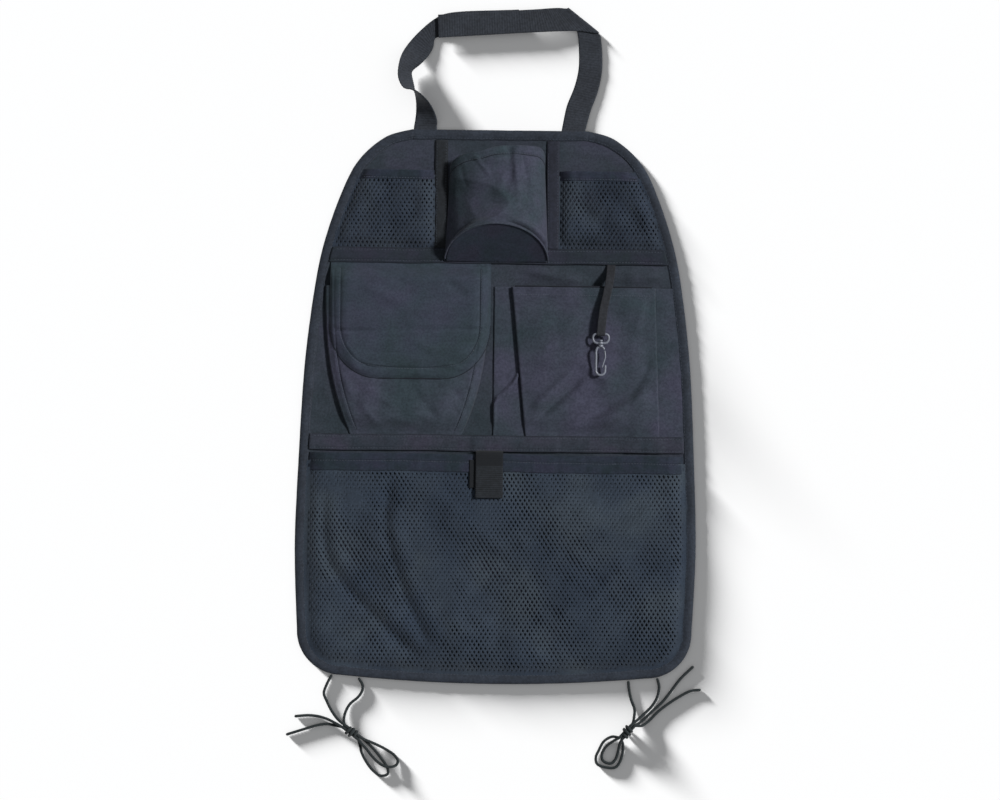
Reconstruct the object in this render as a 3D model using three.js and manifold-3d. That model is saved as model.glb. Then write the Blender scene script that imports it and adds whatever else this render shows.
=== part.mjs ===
// A car seat back organizer, lying flat on its back. Millimetres, +X right, +Y to the headrest strap, +Z up.
import * as THREE from 'three';
import * as BufferGeometryUtils from 'three/addons/utils/BufferGeometryUtils.js';
import Module from 'manifold-3d';

const wasm = await Module();
wasm.setup();

// Driving dimensions of the panel
const PANEL_WIDTH = 433;
const PANEL_HEIGHT = 598;
const PANEL_THICKNESS = 2;
const PANEL_CORNER = 48;
const PANEL_BOTTOM_SAG = 8;
const PANEL_RIM = 0.8;
// The right side from above the bottom corner up: share of half the width, share of the height
const SIDE_OUTLINE = [[0.984, 0.094], [1, 0.248], [0.984, 0.421], [0.961, 0.574], [0.919, 0.704],
  [0.873, 0.791], [0.794, 0.878], [0.707, 0.9415], [0.573, 0.985], [0.439, 1]];

// Cloth, net, tape and webbing
const GAP = 0.3;
const SEWN_GAP = 0.35;
const CLOTH = 0.6;
const DOUBLE_CLOTH = 0.9;
const TAPE = 0.6;
const BAND = 0.7;
const PATCH = 0.7;
const BINDING_WIDTH = 11;
const BINDING_HEIGHT = 3.9;
const SEAM_TUCK = 5;

// Heights of the sewn layers above the floor
const SEAM_Z = PANEL_THICKNESS + SEWN_GAP + CLOTH / 2;
const DOUBLE_SEAM_Z = PANEL_THICKNESS + SEWN_GAP + DOUBLE_CLOTH / 2;
const TAPE_Z = SEAM_Z + CLOTH / 2 + GAP + TAPE / 2;
const BAND_Z = DOUBLE_SEAM_Z + DOUBLE_CLOTH / 2 + GAP + BAND / 2;

// Rows of the layout, measured up from the bottom edge of the panel
const LOWER_SEAM = 251;
const LOWER_BAND_WIDTH = 17;
const UPPER_SEAM = 454;
const UPPER_BAND_WIDTH = 16;
const POCKET_FOOT = 9;

// Small net pockets and the tapes beside the bottle holder
const SMALL_NET_TOP = 554;
const SMALL_NET_BULGE = 7;
const SMALL_NET_RISE = 16;
const SMALL_HEM = 10;
const HEM_CLOTH = 0.5;
const HEM_OFFSET = 0.95;
const HEM_END = 0.65;
const DIVIDER_WIDTH = 13.5;

// Bottle holder
const HOLDER_X = -2.5;
const HOLDER_RADIUS = 55.5;
const HOLDER_TILT = THREE.MathUtils.degToRad(44);
const HOLDER_CLOTH = 0.8;
const HOLDER_SIDE_TOP = 562;
const HOLDER_PEAK = 17;
const HOLDER_SLANT = 6;
const HOLDER_MOUTH_HEIGHT = 24;
const HOLDER_MOUTH_NARROWING = 5;
const HOLDER_HEM = 10;
const HOLDER_TUCK_DEPTH = 3;
const HOLDER_TUCK_ANGLE = 82;

// Flap pocket and flap
const FLAP_POCKET_X = -98;
const FLAP_POCKET_HALF = 88;
const FLAP_POCKET_FOOT_HALF = 56;
const FLAP_POCKET_TOP = 428;
const FLAP_POCKET_GUSSET = 6.5;
const FLAP_POCKET_CROWN = 3;
const FLAP_POCKET_EDGE = 10;
const FLAP_X = -94.5;
const FLAP_WIDTH = 173;
const FLAP_LENGTH = 125;
const FLAP_CORNER_X = 52;
const FLAP_CORNER_Y = 58;
const FLAP_CROWN = 2.2;
const FLAP_HEM = 11.5;
const FLAP_CREASE = 381;
const GROOVE = 0.5;
const CLOSURE_TAPE_LENGTH = 90;
const CLOSURE_TAPE_WIDTH = 20;

// Pleated pocket
const PLEAT_SEWN_X = -4;
const PLEAT_FOLD_TOP_X = 15;
const PLEAT_FOLD_FOOT_X = 31;
const PLEAT_RIGHT_TOP_X = 169;
const PLEAT_RIGHT_FOOT_X = 175.5;
const PLEAT_TOP = 429;
const PLEAT_DEPTH = 13;
const PLEAT_HEIGHT = 5.2;
const PLEAT_CROWN = 2.2;
const PLEAT_HEM = 9;

// Ribbon and swivel clip
const RIBBON_WIDTH = 9;
const RIBBON_CLOTH = 0.6;
const RIBBON_LEAN = 10.6;
const CLIP_X = 111;
const CLIP_BAR_Y = 379;
const CLIP_Z = 17.8;
const EYE_WIRE = 1.2;
const EYE_WIDTH = 17;
const EYE_HEIGHT = 9.8;
const EYE_CORNER = 3.6;
const HUB_RADIUS = 2.6;
const HUB_LENGTH = 2.8;
const POST_RADIUS = 1.3;
const HOOK_WIRE = 1.25;
const HOOK_WIDTH = 9.8;
const HOOK_LENGTH = 30;
const GATE_WIRE = 0.75;

// Large net pocket and its closure tab
const LARGE_NET_TOP = 248;
const LARGE_NET_BULGE = 8;
const LARGE_NET_RISE = 20;
const LARGE_NET_MOUTH = 0.95;
const LARGE_HEM = 19;
const TAB_X = -7.3;
const TAB_WIDTH = 29.5;
const TAB_THICKNESS = 1.2;
const TAB_END = 201;
const TAB_PATCH_SHIFT = -6.5;

// Headrest strap
const WEBBING = 1.4;
const STRAP_SEWN_Z = 1.6;
const STRAP_FLOOR_Z = 1;
const STRAP_PATCH_LENGTH = 70;
const STRAP_PATCH_WIDTH = 21;

// Ties
const CORD_RADIUS = 1.5;
const CORD_SIDES = 8;
const KNOT_LENGTH = 14;
const KNOT_RADIUS = 6;

// Nets: how many diamonds, how much of each is open, and how far inside a seam's edge lie the open field,
// the start of the rise and the sewn edge
const LARGE_NET_CELLS = [13, 5];
const SMALL_NET_CELLS = [5, 4];
const NET_OPEN = 0.74;
const NET_RINGS = [3.2, 1.6, -SEAM_TUCK];

// Finishes
const charcoal = (color, roughness = 0.85) => new THREE.MeshStandardMaterial({ color, roughness, metalness: 0 });
const CLOTH_FINISH = charcoal(0x3a414c);
const PANEL_FINISH = charcoal(0x333a44);
const NET_FINISH = charcoal(0x343b45, 0.9);
const BINDING_FINISH = charcoal(0x2f353d);
const WEBBING_FINISH = charcoal(0x2b2f36, 0.75);
const PATCH_FINISH = charcoal(0x202326, 0.95);
const CORD_FINISH = charcoal(0x202526, 0.7);
const PLASTIC_FINISH = charcoal(0x24272b, 0.4);

const smooth = (x) => THREE.MathUtils.smoothstep(x, 0, 1);
const puff = (x) => 1 - (1 - THREE.MathUtils.clamp(x, 0, 1)) ** 2.5;
const lerp = THREE.MathUtils.lerp;
const between = (low, high, shares) => shares.map((share) => lerp(low, high, share));
const vec = (x, y, z) => new THREE.Vector3(x, y, z);

const group = new THREE.Group();

function addPiece(name, geometry, material, parent = group) {
  const mesh = new THREE.Mesh(geometry, material);
  mesh.name = name;
  parent.add(mesh);
  return mesh;
}

// Closed solids

// Turns a list of points and triangles into a geometry whose faces point out
function closedGeometry(points, triangles) {
  let volume = 0;
  for (const [a, b, c] of triangles) {
    volume += points[a].dot(points[b].clone().cross(points[c]));
  }
  const geometry = new THREE.BufferGeometry();
  geometry.setAttribute('position', new THREE.Float32BufferAttribute(points.flatMap((p) => p.toArray()), 3));
  geometry.setIndex(triangles.flatMap(([a, b, c]) => (volume < 0 ? [a, c, b] : [a, b, c])));
  return geometry;
}

// A thin closed solid between two matching grids of points
function slab(top, bottom) {
  const rows = top.length;
  const columns = top[0].length;
  const points = [...top.flat(), ...bottom.flat()];
  const at = (layer, j, i) => (layer * rows + j) * columns + i;
  const triangles = [];
  const quad = (a, b, c, d) => triangles.push([a, b, c], [a, c, d]);
  for (let j = 0; j < rows - 1; j += 1) {
    for (let i = 0; i < columns - 1; i += 1) {
      quad(at(0, j, i), at(0, j, i + 1), at(0, j + 1, i + 1), at(0, j + 1, i));
      quad(at(1, j, i), at(1, j + 1, i), at(1, j + 1, i + 1), at(1, j, i + 1));
    }
  }
  for (let i = 0; i < columns - 1; i += 1) {
    quad(at(0, 0, i), at(1, 0, i), at(1, 0, i + 1), at(0, 0, i + 1));
    quad(at(0, rows - 1, i), at(0, rows - 1, i + 1), at(1, rows - 1, i + 1), at(1, rows - 1, i));
  }
  for (let j = 0; j < rows - 1; j += 1) {
    quad(at(0, j, 0), at(0, j + 1, 0), at(1, j + 1, 0), at(1, j, 0));
    quad(at(0, j, columns - 1), at(1, j, columns - 1), at(1, j + 1, columns - 1), at(0, j + 1, columns - 1));
  }
  return closedGeometry(points, triangles);
}

// Cloth of a given thickness about a grid of points
function sheet(grid, thickness) {
  const rows = grid.length;
  const columns = grid[0].length;
  const shifted = (sign) => grid.map((row, j) => row.map((p, i) => {
    const across = row[Math.min(i + 1, columns - 1)].clone().sub(row[Math.max(i - 1, 0)]);
    const along = grid[Math.min(j + 1, rows - 1)][i].clone().sub(grid[Math.max(j - 1, 0)][i]);
    const normal = across.cross(along).normalize();
    const depth = typeof thickness === 'function' ? thickness(j, i) : thickness;
    return p.clone().addScaledVector(normal, sign * depth / 2);
  }));
  return slab(shifted(1), shifted(-1));
}

// The upward normal of a surface given as a height over x and y
function surfaceNormal(height, x, y) {
  const step = 0.25;
  const slopeX = (height(x + step, y) - height(x - step, y)) / (2 * step);
  const slopeY = (height(x, y + step) - height(x, y - step)) / (2 * step);
  return vec(-slopeX, -slopeY, 1).normalize();
}

function onSurface(height, x, y, offset = 0) {
  return vec(x, y, height(x, y)).addScaledVector(surfaceNormal(height, x, y), offset);
}

// A flat outline raised between two heights
function plate(outline, low, high) {
  const geometry = new THREE.ExtrudeGeometry(new THREE.Shape(outline), { depth: high - low, bevelEnabled: false });
  return geometry.translate(0, 0, low);
}

function block(left, right, foot, top, low, high) {
  const geometry = new THREE.BoxGeometry(right - left, top - foot, high - low);
  return geometry.translate((left + right) / 2, (foot + top) / 2, (low + high) / 2);
}

// A section swept round a closed flat outline: section points are [distance inward, height]
function ringSolid(outline, section) {
  const inward = inwardNormals(outline);
  const points = outline.flatMap((p, i) => section.map(([depth, height]) => (
    vec(p.x + inward[i].x * depth, p.y + inward[i].y * depth, height))));
  const around = section.length;
  const triangles = [];
  for (let i = 0; i < outline.length; i += 1) {
    for (let k = 0; k < around; k += 1) {
      const next = ((i + 1) % outline.length) * around;
      const turn = (k + 1) % around;
      const corner = [i * around + k, i * around + turn, next + turn, next + k];
      triangles.push([corner[0], corner[1], corner[2]], [corner[0], corner[2], corner[3]]);
    }
  }
  return closedGeometry(points, triangles);
}

// A round cord or wire along a curve through the points
function tube(points, radius, steps, sides = CORD_SIDES) {
  const section = [];
  for (let i = 0; i < sides; i += 1) {
    const angle = (i + 0.5) * 2 * Math.PI / sides;
    section.push(new THREE.Vector2(radius * Math.cos(angle), radius * Math.sin(angle)));
  }
  const path = new THREE.CatmullRomCurve3(points, false, 'centripetal');
  return new THREE.ExtrudeGeometry(new THREE.Shape(section), { steps, extrudePath: path, bevelEnabled: false });
}

function manifold(geometry) {
  const bare = geometry.clone();
  bare.deleteAttribute('normal');
  bare.deleteAttribute('uv');
  const merged = BufferGeometryUtils.mergeVertices(bare, 1e-4);
  const mesh = new wasm.Mesh({
    numProp: 3,
    vertProperties: new Float32Array(merged.attributes.position.array),
    triVerts: new Uint32Array(merged.index.array),
  });
  return new wasm.Manifold(mesh);
}

function fromManifold(solid) {
  const mesh = solid.getMesh();
  const geometry = new THREE.BufferGeometry();
  geometry.setAttribute('position', new THREE.BufferAttribute(new Float32Array(mesh.vertProperties), 3));
  geometry.setIndex([...mesh.triVerts]);
  return geometry;
}

const join = (...geometries) => fromManifold(geometries.map(manifold).reduce((a, b) => a.add(b)));
const cut = (geometry, tool) => fromManifold(manifold(geometry).subtract(manifold(tool)));

// Panel outline

function inwardNormals(outline) {
  const count = outline.length;
  return outline.map((p, i) => {
    const before = outline[(i + count - 1) % count];
    const after = outline[(i + 1) % count];
    const first = new THREE.Vector2(before.y - p.y, p.x - before.x).normalize();
    const second = new THREE.Vector2(p.y - after.y, after.x - p.x).normalize();
    const normal = first.add(second);
    return normal.multiplyScalar(2 / normal.lengthSq());
  });
}

function inset(outline, distance) {
  const inward = inwardNormals(outline);
  return outline.map((p, i) => p.clone().addScaledVector(inward[i], distance));
}

const cornerX = SIDE_OUTLINE[0][0] * PANEL_WIDTH / 2 - PANEL_CORNER;
const cornerY = PANEL_BOTTOM_SAG + PANEL_CORNER;
const bottomEdge = (x) => PANEL_BOTTOM_SAG * (x / cornerX) ** 2;

const BOTTOM_STEPS = 5;
const CORNER_STEPS = 6;
const CORNER_MIDDLE = BOTTOM_STEPS + CORNER_STEPS / 2;

// The right half of the outline, from the middle of the bottom edge to the top corner
function rightHalf() {
  const points = [];
  for (let i = 0; i <= BOTTOM_STEPS; i += 1) {
    const x = cornerX * i / BOTTOM_STEPS;
    points.push(new THREE.Vector2(x, bottomEdge(x)));
  }
  for (let i = 1; i < CORNER_STEPS; i += 1) {
    const angle = -Math.PI / 2 + Math.PI / 2 * i / CORNER_STEPS;
    points.push(new THREE.Vector2(cornerX + PANEL_CORNER * Math.cos(angle), cornerY + PANEL_CORNER * Math.sin(angle)));
  }
  const side = SIDE_OUTLINE.map(([x, y]) => new THREE.Vector2(x * PANEL_WIDTH / 2, y * PANEL_HEIGHT));
  side[0].y = cornerY;
  points.push(...new THREE.SplineCurve(side).getPoints(24));
  return points;
}

const half = rightHalf();
const outline = [...half, ...half.slice(1).reverse().map((p) => new THREE.Vector2(-p.x, p.y))];

// How far a line lies from the middle at a height above the bottom edge
function widthAt(line, y) {
  for (let i = 0; i < line.length - 1; i += 1) {
    if (y <= line[i + 1].y && line[i + 1].y > line[i].y) {
      const share = Math.max(0, (y - line[i].y) / (line[i + 1].y - line[i].y));
      return lerp(line[i].x, line[i + 1].x, share);
    }
  }
  return line[line.length - 1].x;
}

const halfWidth = (y) => widthAt(half, y);
const bindingInside = (y) => halfWidth(y) - BINDING_WIDTH;
const sewnSide = (y) => bindingInside(y) + SEAM_TUCK;

// How far a spot lies in from the side and bottom edges
function depthInside(x, y) {
  let nearest = Infinity;
  for (let i = 0; i < half.length - 1; i += 1) {
    const along = half[i + 1].clone().sub(half[i]);
    const away = new THREE.Vector2(Math.abs(x), y).sub(half[i]);
    const share = THREE.MathUtils.clamp(away.dot(along) / along.lengthSq(), 0, 1);
    nearest = Math.min(nearest, away.addScaledVector(along, -share).length());
  }
  return nearest;
}

// Backing cloth and edge binding

function backPanel() {
  const body = plate(inset(outline, BINDING_WIDTH + GAP), 0, PANEL_THICKNESS);
  const rimFoot = TAPE + GAP;
  const rim = plate(inset(outline, TAPE + GAP), rimFoot, rimFoot + PANEL_RIM);
  return join(body, rim);
}

function edgeBinding() {
  const section = [[0, 0], [0, BINDING_HEIGHT], [BINDING_WIDTH, BINDING_HEIGHT],
    [BINDING_WIDTH, BINDING_HEIGHT - TAPE], [TAPE, BINDING_HEIGHT - TAPE], [TAPE, TAPE],
    [BINDING_WIDTH, TAPE], [BINDING_WIDTH, 0]];
  return ringSolid(outline, section);
}

addPiece('back_panel', backPanel(), PANEL_FINISH);
addPiece('edge_binding', edgeBinding(), BINDING_FINISH);

// Nets

// A net of diamonds with a plain strip at the top and a plain edge at the foot and sides. place(a, b, ring)
// gives x and y: a and b are shares of the open field and b is 2 at the top edge. Ring 1 is where the net starts
// to rise from a seam and ring 2 is its sewn edge.
function net(place, height, thickness, [across, up]) {
  const points = [];
  const triangles = [];
  const known = new Map();
  const vertex = ([a, b, ring = 0], side) => {
    const key = `${a.toFixed(6)},${b.toFixed(6)},${ring},${side}`;
    if (!known.has(key)) {
      const [x, y] = place(a, b, ring);
      known.set(key, points.push(onSurface(height, x, y, side * thickness / 2)) - 1);
    }
    return known.get(key);
  };
  const face = (...corners) => {
    for (let i = 1; i < corners.length - 1; i += 1) {
      const [a, b, c] = [corners[0], corners[i], corners[i + 1]];
      triangles.push([vertex(a, 1), vertex(b, 1), vertex(c, 1)]);
      triangles.push([vertex(a, -1), vertex(c, -1), vertex(b, -1)]);
    }
  };
  // The wall of an edge that runs anticlockwise round the net, or clockwise round a gap
  const rim = (a, b) => {
    triangles.push([vertex(a, -1), vertex(b, -1), vertex(b, 1)]);
    triangles.push([vertex(a, -1), vertex(b, 1), vertex(a, 1)]);
  };
  const halfA = 0.5 / across;
  const halfB = 0.5 / up;
  const diamond = (a, b) => {
    const outer = [[a + halfA, b], [a, b + halfB], [a - halfA, b], [a, b - halfB]];
    const inner = outer.map(([x, y]) => [a + (x - a) * NET_OPEN, b + (y - b) * NET_OPEN]);
    for (let k = 0; k < 4; k += 1) {
      const next = (k + 1) % 4;
      face(outer[k], outer[next], inner[next], inner[k]);
      rim(inner[next], inner[k]);
    }
  };
  for (let i = 0; i < across; i += 1) {
    for (let j = 0; j < up; j += 1) {
      diamond((2 * i + 1) * halfA, (2 * j + 1) * halfB);
    }
  }
  for (let i = 1; i < across; i += 1) {
    for (let j = 1; j < up; j += 1) {
      diamond(2 * i * halfA, 2 * j * halfB);
    }
  }
  // Half diamonds along the edges of the field are filled
  for (let i = 1; i < across; i += 1) {
    const a = 2 * i * halfA;
    face([a - halfA, 0], [a + halfA, 0], [a, halfB]);
    face([a + halfA, 1], [a - halfA, 1], [a, 1 - halfB]);
  }
  for (let j = 1; j < up; j += 1) {
    const b = 2 * j * halfB;
    face([0, b + halfB], [0, b - halfB], [halfA, b]);
    face([1, b - halfB], [1, b + halfB], [1 - halfA, b]);
  }
  face([0, 0], [halfA, 0], [0, halfB]);
  face([1, 0], [1, halfB], [1 - halfA, 0]);
  face([1, 1], [1 - halfA, 1], [1, 1 - halfB]);
  face([0, 1], [0, 1 - halfB], [halfA, 1]);
  const columns = fieldColumns(across);
  for (let i = 0; i < columns.length - 1; i += 1) {
    const [a, b] = [columns[i], columns[i + 1]];
    face([a, 1], [b, 1], [b, 2], [a, 2]);
    rim([b, 2], [a, 2]);
  }
  // The plain edge runs down one side, along the foot and up the other side
  const levels = [0, ...Array.from({ length: up }, (_, j) => (2 * j + 1) * halfB), 1, 2];
  const down = [...levels].reverse().map((b) => [0, b]);
  const path = [...down, ...columns.slice(1, -1).map((a) => [a, 0]), ...levels.map((b) => [1, b])];
  for (let k = 0; k < path.length - 1; k += 1) {
    for (const ring of [0, 1]) {
      face([...path[k], ring], [...path[k], ring + 1], [...path[k + 1], ring + 1], [...path[k + 1], ring]);
    }
    rim([...path[k], 2], [...path[k + 1], 2]);
  }
  for (const ring of [0, 1]) {
    rim([0, 2, ring], [0, 2, ring + 1]);
    rim([1, 2, ring + 1], [1, 2, ring]);
  }
  return closedGeometry(points, triangles);
}

const fieldColumns = (across) => [0, ...Array.from({ length: across }, (_, i) => (i + 0.5) / across), 1];

// Tape folded over the top edge of a net: down its front, over the edge and down its back
function foldedHem(place, height, [across]) {
  const fold = [[1, HEM_OFFSET, 0], [2, HEM_OFFSET, 0], [2, 0, 0.9], [2, -HEM_OFFSET, 0], [1, -HEM_OFFSET, 0]];
  const spots = [[0, 1], ...fieldColumns(across).map((a) => [a, 0]), [1, 1]];
  const last = spots.length - 1;
  const grid = fold.map(([b, offset, beyond]) => {
    const row = spots.map(([a, ring]) => {
      const [x, y] = place(a, b, ring);
      return onSurface(height, x, y, offset).add(vec(0, beyond, 0));
    });
    row[0].lerp(row[1], HEM_END);
    row[last].lerp(row[last - 1], HEM_END);
    return row;
  });
  return sheet(grid, HEM_CLOTH);
}

// Upper row

const upperBandTop = UPPER_SEAM + UPPER_BAND_WIDTH;
const dividerInner = HOLDER_RADIUS - 2;

// side is -1 on the left and 1 on the right
function smallNetPocket(name, side) {
  const tapeInside = HOLDER_X * side + dividerInner;
  const tapeOutside = tapeInside + DIVIDER_WIDTH;
  const bindingEdge = (y) => bindingInside(y + 4 * GAP) - GAP;
  const height = (x, y) => {
    const seams = [bindingEdge(y) - side * x, side * x - tapeOutside, y - upperBandTop];
    return SEAM_Z + seams.reduce((z, d) => z * puff((d - NET_RINGS[1]) / SMALL_NET_RISE), SMALL_NET_BULGE);
  };
  const place = (a, b, ring = 0) => {
    const foot = upperBandTop + NET_RINGS[b === 0 ? ring : 0];
    const y = b === 2 ? SMALL_NET_TOP : lerp(foot, SMALL_NET_TOP - SMALL_HEM, b);
    const inside = tapeOutside + NET_RINGS[a === 0 ? ring : 0];
    const outside = bindingEdge(y) - NET_RINGS[a === 1 ? ring : 0];
    return [side * lerp(inside, outside, a), y];
  };
  addPiece(`${name}_net_pocket`, net(place, height, CLOTH, SMALL_NET_CELLS), NET_FINISH);
  addPiece(`${name}_net_hem`, foldedHem(place, height, SMALL_NET_CELLS), BINDING_FINISH);
  const tapeTop = PANEL_HEIGHT - BINDING_WIDTH - GAP;
  const [left, right] = [side * tapeInside, side * tapeOutside].sort((p, q) => p - q);
  const tape = block(left, right, upperBandTop + GAP, tapeTop, TAPE_Z - TAPE / 2, TAPE_Z + TAPE / 2);
  addPiece(`${name}_divider_tape`, tape, BINDING_FINISH);
}

smallNetPocket('left', -1);
smallNetPocket('right', 1);

// A straight band right across the panel, its ends just inside the binding
function crossBand(foot, top, heightAt, stops) {
  const rows = [foot, (foot + top) / 2, top].map((y) => {
    const end = bindingInside(y) - 2 * GAP;
    return [-end, ...stops, end].map((x) => vec(x, y, heightAt(x)));
  });
  return sheet(rows, BAND);
}

addPiece('upper_seam_band', crossBand(UPPER_SEAM, upperBandTop, () => BAND_Z, [-60, 0, 60]), CLOTH_FINISH);

// Bottle holder: the base is a half disc that slopes up from the seam, the wall runs from its rim to the mouth

const holderZ = BAND_Z + BAND / 2 + SEWN_GAP + HOLDER_CLOTH / 2;
const holderFoot = UPPER_SEAM + 2;

function holderRim(angle, radius = HOLDER_RADIUS) {
  const reach = radius * Math.sin(angle);
  return vec(HOLDER_X + radius * Math.cos(angle), holderFoot + reach * Math.cos(HOLDER_TILT),
    holderZ + reach * Math.sin(HOLDER_TILT));
}

function holderMouth(angle) {
  const arch = Math.sin(angle);
  const tuckWidth = 7;
  const away = (THREE.MathUtils.radToDeg(angle) - HOLDER_TUCK_ANGLE) / tuckWidth;
  const tuck = HOLDER_TUCK_DEPTH * Math.exp(-away * away);
  return vec(HOLDER_X + (HOLDER_RADIUS - HOLDER_MOUTH_NARROWING) * Math.cos(angle),
    HOLDER_SIDE_TOP + HOLDER_SLANT * Math.cos(angle) + HOLDER_PEAK * arch ** 0.8, holderZ + HOLDER_MOUTH_HEIGHT * arch - tuck);
}

function bottleHolderWall() {
  const length = HOLDER_SIDE_TOP - holderFoot;
  const hemShare = 1 - HOLDER_HEM / length;
  const shares = [0, 0.08, 0.25, 0.5, 0.75, hemShare, 1];
  const steps = 26;
  const grid = shares.map((share) => {
    const row = [];
    for (let i = 0; i <= steps; i += 1) {
      const angle = Math.PI * (1 - i / steps);
      row.push(holderRim(angle).lerp(holderMouth(angle), share));
    }
    return row;
  });
  const thickness = (j) => (shares[j] >= hemShare ? 2 * HOLDER_CLOTH : HOLDER_CLOTH);
  return sheet(grid, thickness);
}

function bottleHolderBase() {
  const radius = HOLDER_RADIUS - HOLDER_CLOTH / 2 - SEWN_GAP;
  const steps = 22;
  const shape = new THREE.Shape();
  shape.moveTo(radius, 0);
  for (let i = 1; i <= steps; i += 1) {
    const angle = Math.PI * i / steps;
    shape.lineTo(radius * Math.cos(angle), radius * Math.sin(angle));
  }
  const geometry = new THREE.ExtrudeGeometry(shape, { depth: HOLDER_CLOTH, bevelEnabled: false });
  geometry.translate(0, 0, -HOLDER_CLOTH / 2);
  return geometry.rotateX(HOLDER_TILT).translate(HOLDER_X, holderFoot, holderZ);
}

addPiece('bottle_holder_wall', bottleHolderWall(), CLOTH_FINISH);
addPiece('bottle_holder_base', bottleHolderBase(), PANEL_FINISH);

// Middle row, left: flap pocket

const pocketFoot = LOWER_SEAM + POCKET_FOOT;
const bandTop = LOWER_SEAM + LOWER_BAND_WIDTH;

function flapPocketHalf(y) {
  const down = (FLAP_POCKET_TOP - y) / (FLAP_POCKET_TOP - pocketFoot);
  return FLAP_POCKET_HALF - (FLAP_POCKET_HALF - FLAP_POCKET_FOOT_HALF) * Math.max(0, down) ** 2.6;
}

// Distance in from the pocket's edge gives a steep gusset, a stitched edge and a gentle crown
function flapPocketHeight(x, y) {
  const edge = flapPocketHalf(y) - Math.abs(x - FLAP_POCKET_X);
  const gusset = FLAP_POCKET_GUSSET * smooth(edge / 1.2);
  const crown = FLAP_POCKET_CROWN * smooth((edge - 1.2) / 30);
  const stitch = GROOVE * Math.max(0, 1 - Math.abs(edge - FLAP_POCKET_EDGE) / 1.4);
  const foot = smooth((y - bandTop - 1) / 14);
  return DOUBLE_SEAM_Z + (gusset + crown - stitch) * foot;
}

function flapPocketBody() {
  const edges = [0, 0.6, 1.2, 4, 8.6, FLAP_POCKET_EDGE, 11.4, 24, 42];
  const heights = [pocketFoot, bandTop + 1, bandTop + 5, bandTop + 10, bandTop + 15,
    ...between(bandTop + 15, FLAP_POCKET_TOP, [0.12, 0.32, 0.53, 0.77]), FLAP_POCKET_TOP];
  const grid = heights.map((y) => {
    const reach = flapPocketHalf(y);
    const offsets = [...edges.map((d) => d - reach), 0, ...edges.map((d) => reach - d).reverse()];
    return offsets.map((x) => vec(FLAP_POCKET_X + x, y, flapPocketHeight(FLAP_POCKET_X + x, y)));
  });
  return sheet(grid, DOUBLE_CLOTH);
}

const flapTop = UPPER_SEAM + 4;
const flapFoot = UPPER_SEAM - FLAP_LENGTH;
const flapPocketFront = flapPocketHeight(FLAP_POCKET_X, FLAP_CREASE) + DOUBLE_CLOTH / 2;
const flapLoopZ = flapPocketFront + GAP + PATCH / 2;
const flapHookZ = flapLoopZ + PATCH + GAP;
const flapCrownZ = flapHookZ + PATCH / 2 + 2 * GAP + DOUBLE_CLOTH / 2;

function flapHalf(y) {
  const straight = FLAP_WIDTH / 2 - FLAP_CORNER_X;
  const down = Math.min(1, Math.max(0, (flapFoot + FLAP_CORNER_Y - y) / FLAP_CORNER_Y));
  return straight + FLAP_CORNER_X * Math.sqrt(1 - down * down);
}

function flapHeight(x, y) {
  const edge = Math.min(flapHalf(y) - Math.abs(x - FLAP_X), y - flapFoot);
  const low = flapCrownZ - FLAP_CROWN;
  const stitch = GROOVE * Math.max(0, 1 - Math.abs(edge - FLAP_HEM) / 1.5);
  const crease = GROOVE * Math.max(0, 1 - Math.abs(y - FLAP_CREASE) / 2.5);
  const full = low + FLAP_CROWN * smooth(edge / 20) - stitch - crease * smooth((edge - FLAP_HEM) / 3);
  return lerp(DOUBLE_SEAM_Z, full, smooth((UPPER_SEAM - y) / 20));
}

function flap() {
  const edges = [0, 3, 9.9, FLAP_HEM, 13.1, 22, 45];
  const heights = [flapFoot, flapFoot + 3, flapFoot + 10, flapFoot + FLAP_HEM, flapFoot + 13, flapFoot + 22,
    ...between(flapFoot + 22, FLAP_CREASE - 2.5, [0.5]), FLAP_CREASE - 2.5, FLAP_CREASE, FLAP_CREASE + 2.5,
    ...between(FLAP_CREASE, UPPER_SEAM - 18, [0.5]), UPPER_SEAM - 18, UPPER_SEAM - 13,
    UPPER_SEAM - 9, UPPER_SEAM - 5, UPPER_SEAM - 0.5, flapTop];
  const grid = heights.map((y) => {
    const reach = flapHalf(y);
    const offsets = [...edges.map((d) => Math.min(d, reach - 1) - reach), 0,
      ...edges.map((d) => reach - Math.min(d, reach - 1)).reverse()];
    return offsets.map((x) => vec(FLAP_X + x, y, flapHeight(FLAP_X + x, y)));
  });
  return sheet(grid, DOUBLE_CLOTH);
}

function flapTape(z) {
  const left = FLAP_X - CLOSURE_TAPE_LENGTH / 2;
  const foot = flapFoot + FLAP_HEM + 6;
  return block(left, left + CLOSURE_TAPE_LENGTH, foot, foot + CLOSURE_TAPE_WIDTH, z - PATCH / 2, z + PATCH / 2);
}

addPiece('flap_pocket_body', flapPocketBody(), CLOTH_FINISH);
addPiece('flap', flap(), CLOTH_FINISH);
addPiece('flap_loop_tape', flapTape(flapLoopZ), PATCH_FINISH);
addPiece('flap_hook_tape', flapTape(flapHookZ), PATCH_FINISH);

// Middle row, right: pleated pocket. Each row of the cloth runs from the sewn edge, under the front, back out
// to the fold and over the front.

const pleatSpan = PLEAT_TOP - bandTop;
const pleatLeft = (y) => lerp(PLEAT_FOLD_TOP_X, PLEAT_FOLD_FOOT_X, (PLEAT_TOP - y) / pleatSpan);
const pleatRight = (y) => lerp(PLEAT_RIGHT_TOP_X, PLEAT_RIGHT_FOOT_X, (PLEAT_TOP - y) / pleatSpan);
const pleatLayer = CLOTH + GAP;
const pleatCrownZ = SEAM_Z + PLEAT_HEIGHT + PLEAT_CROWN;

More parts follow.
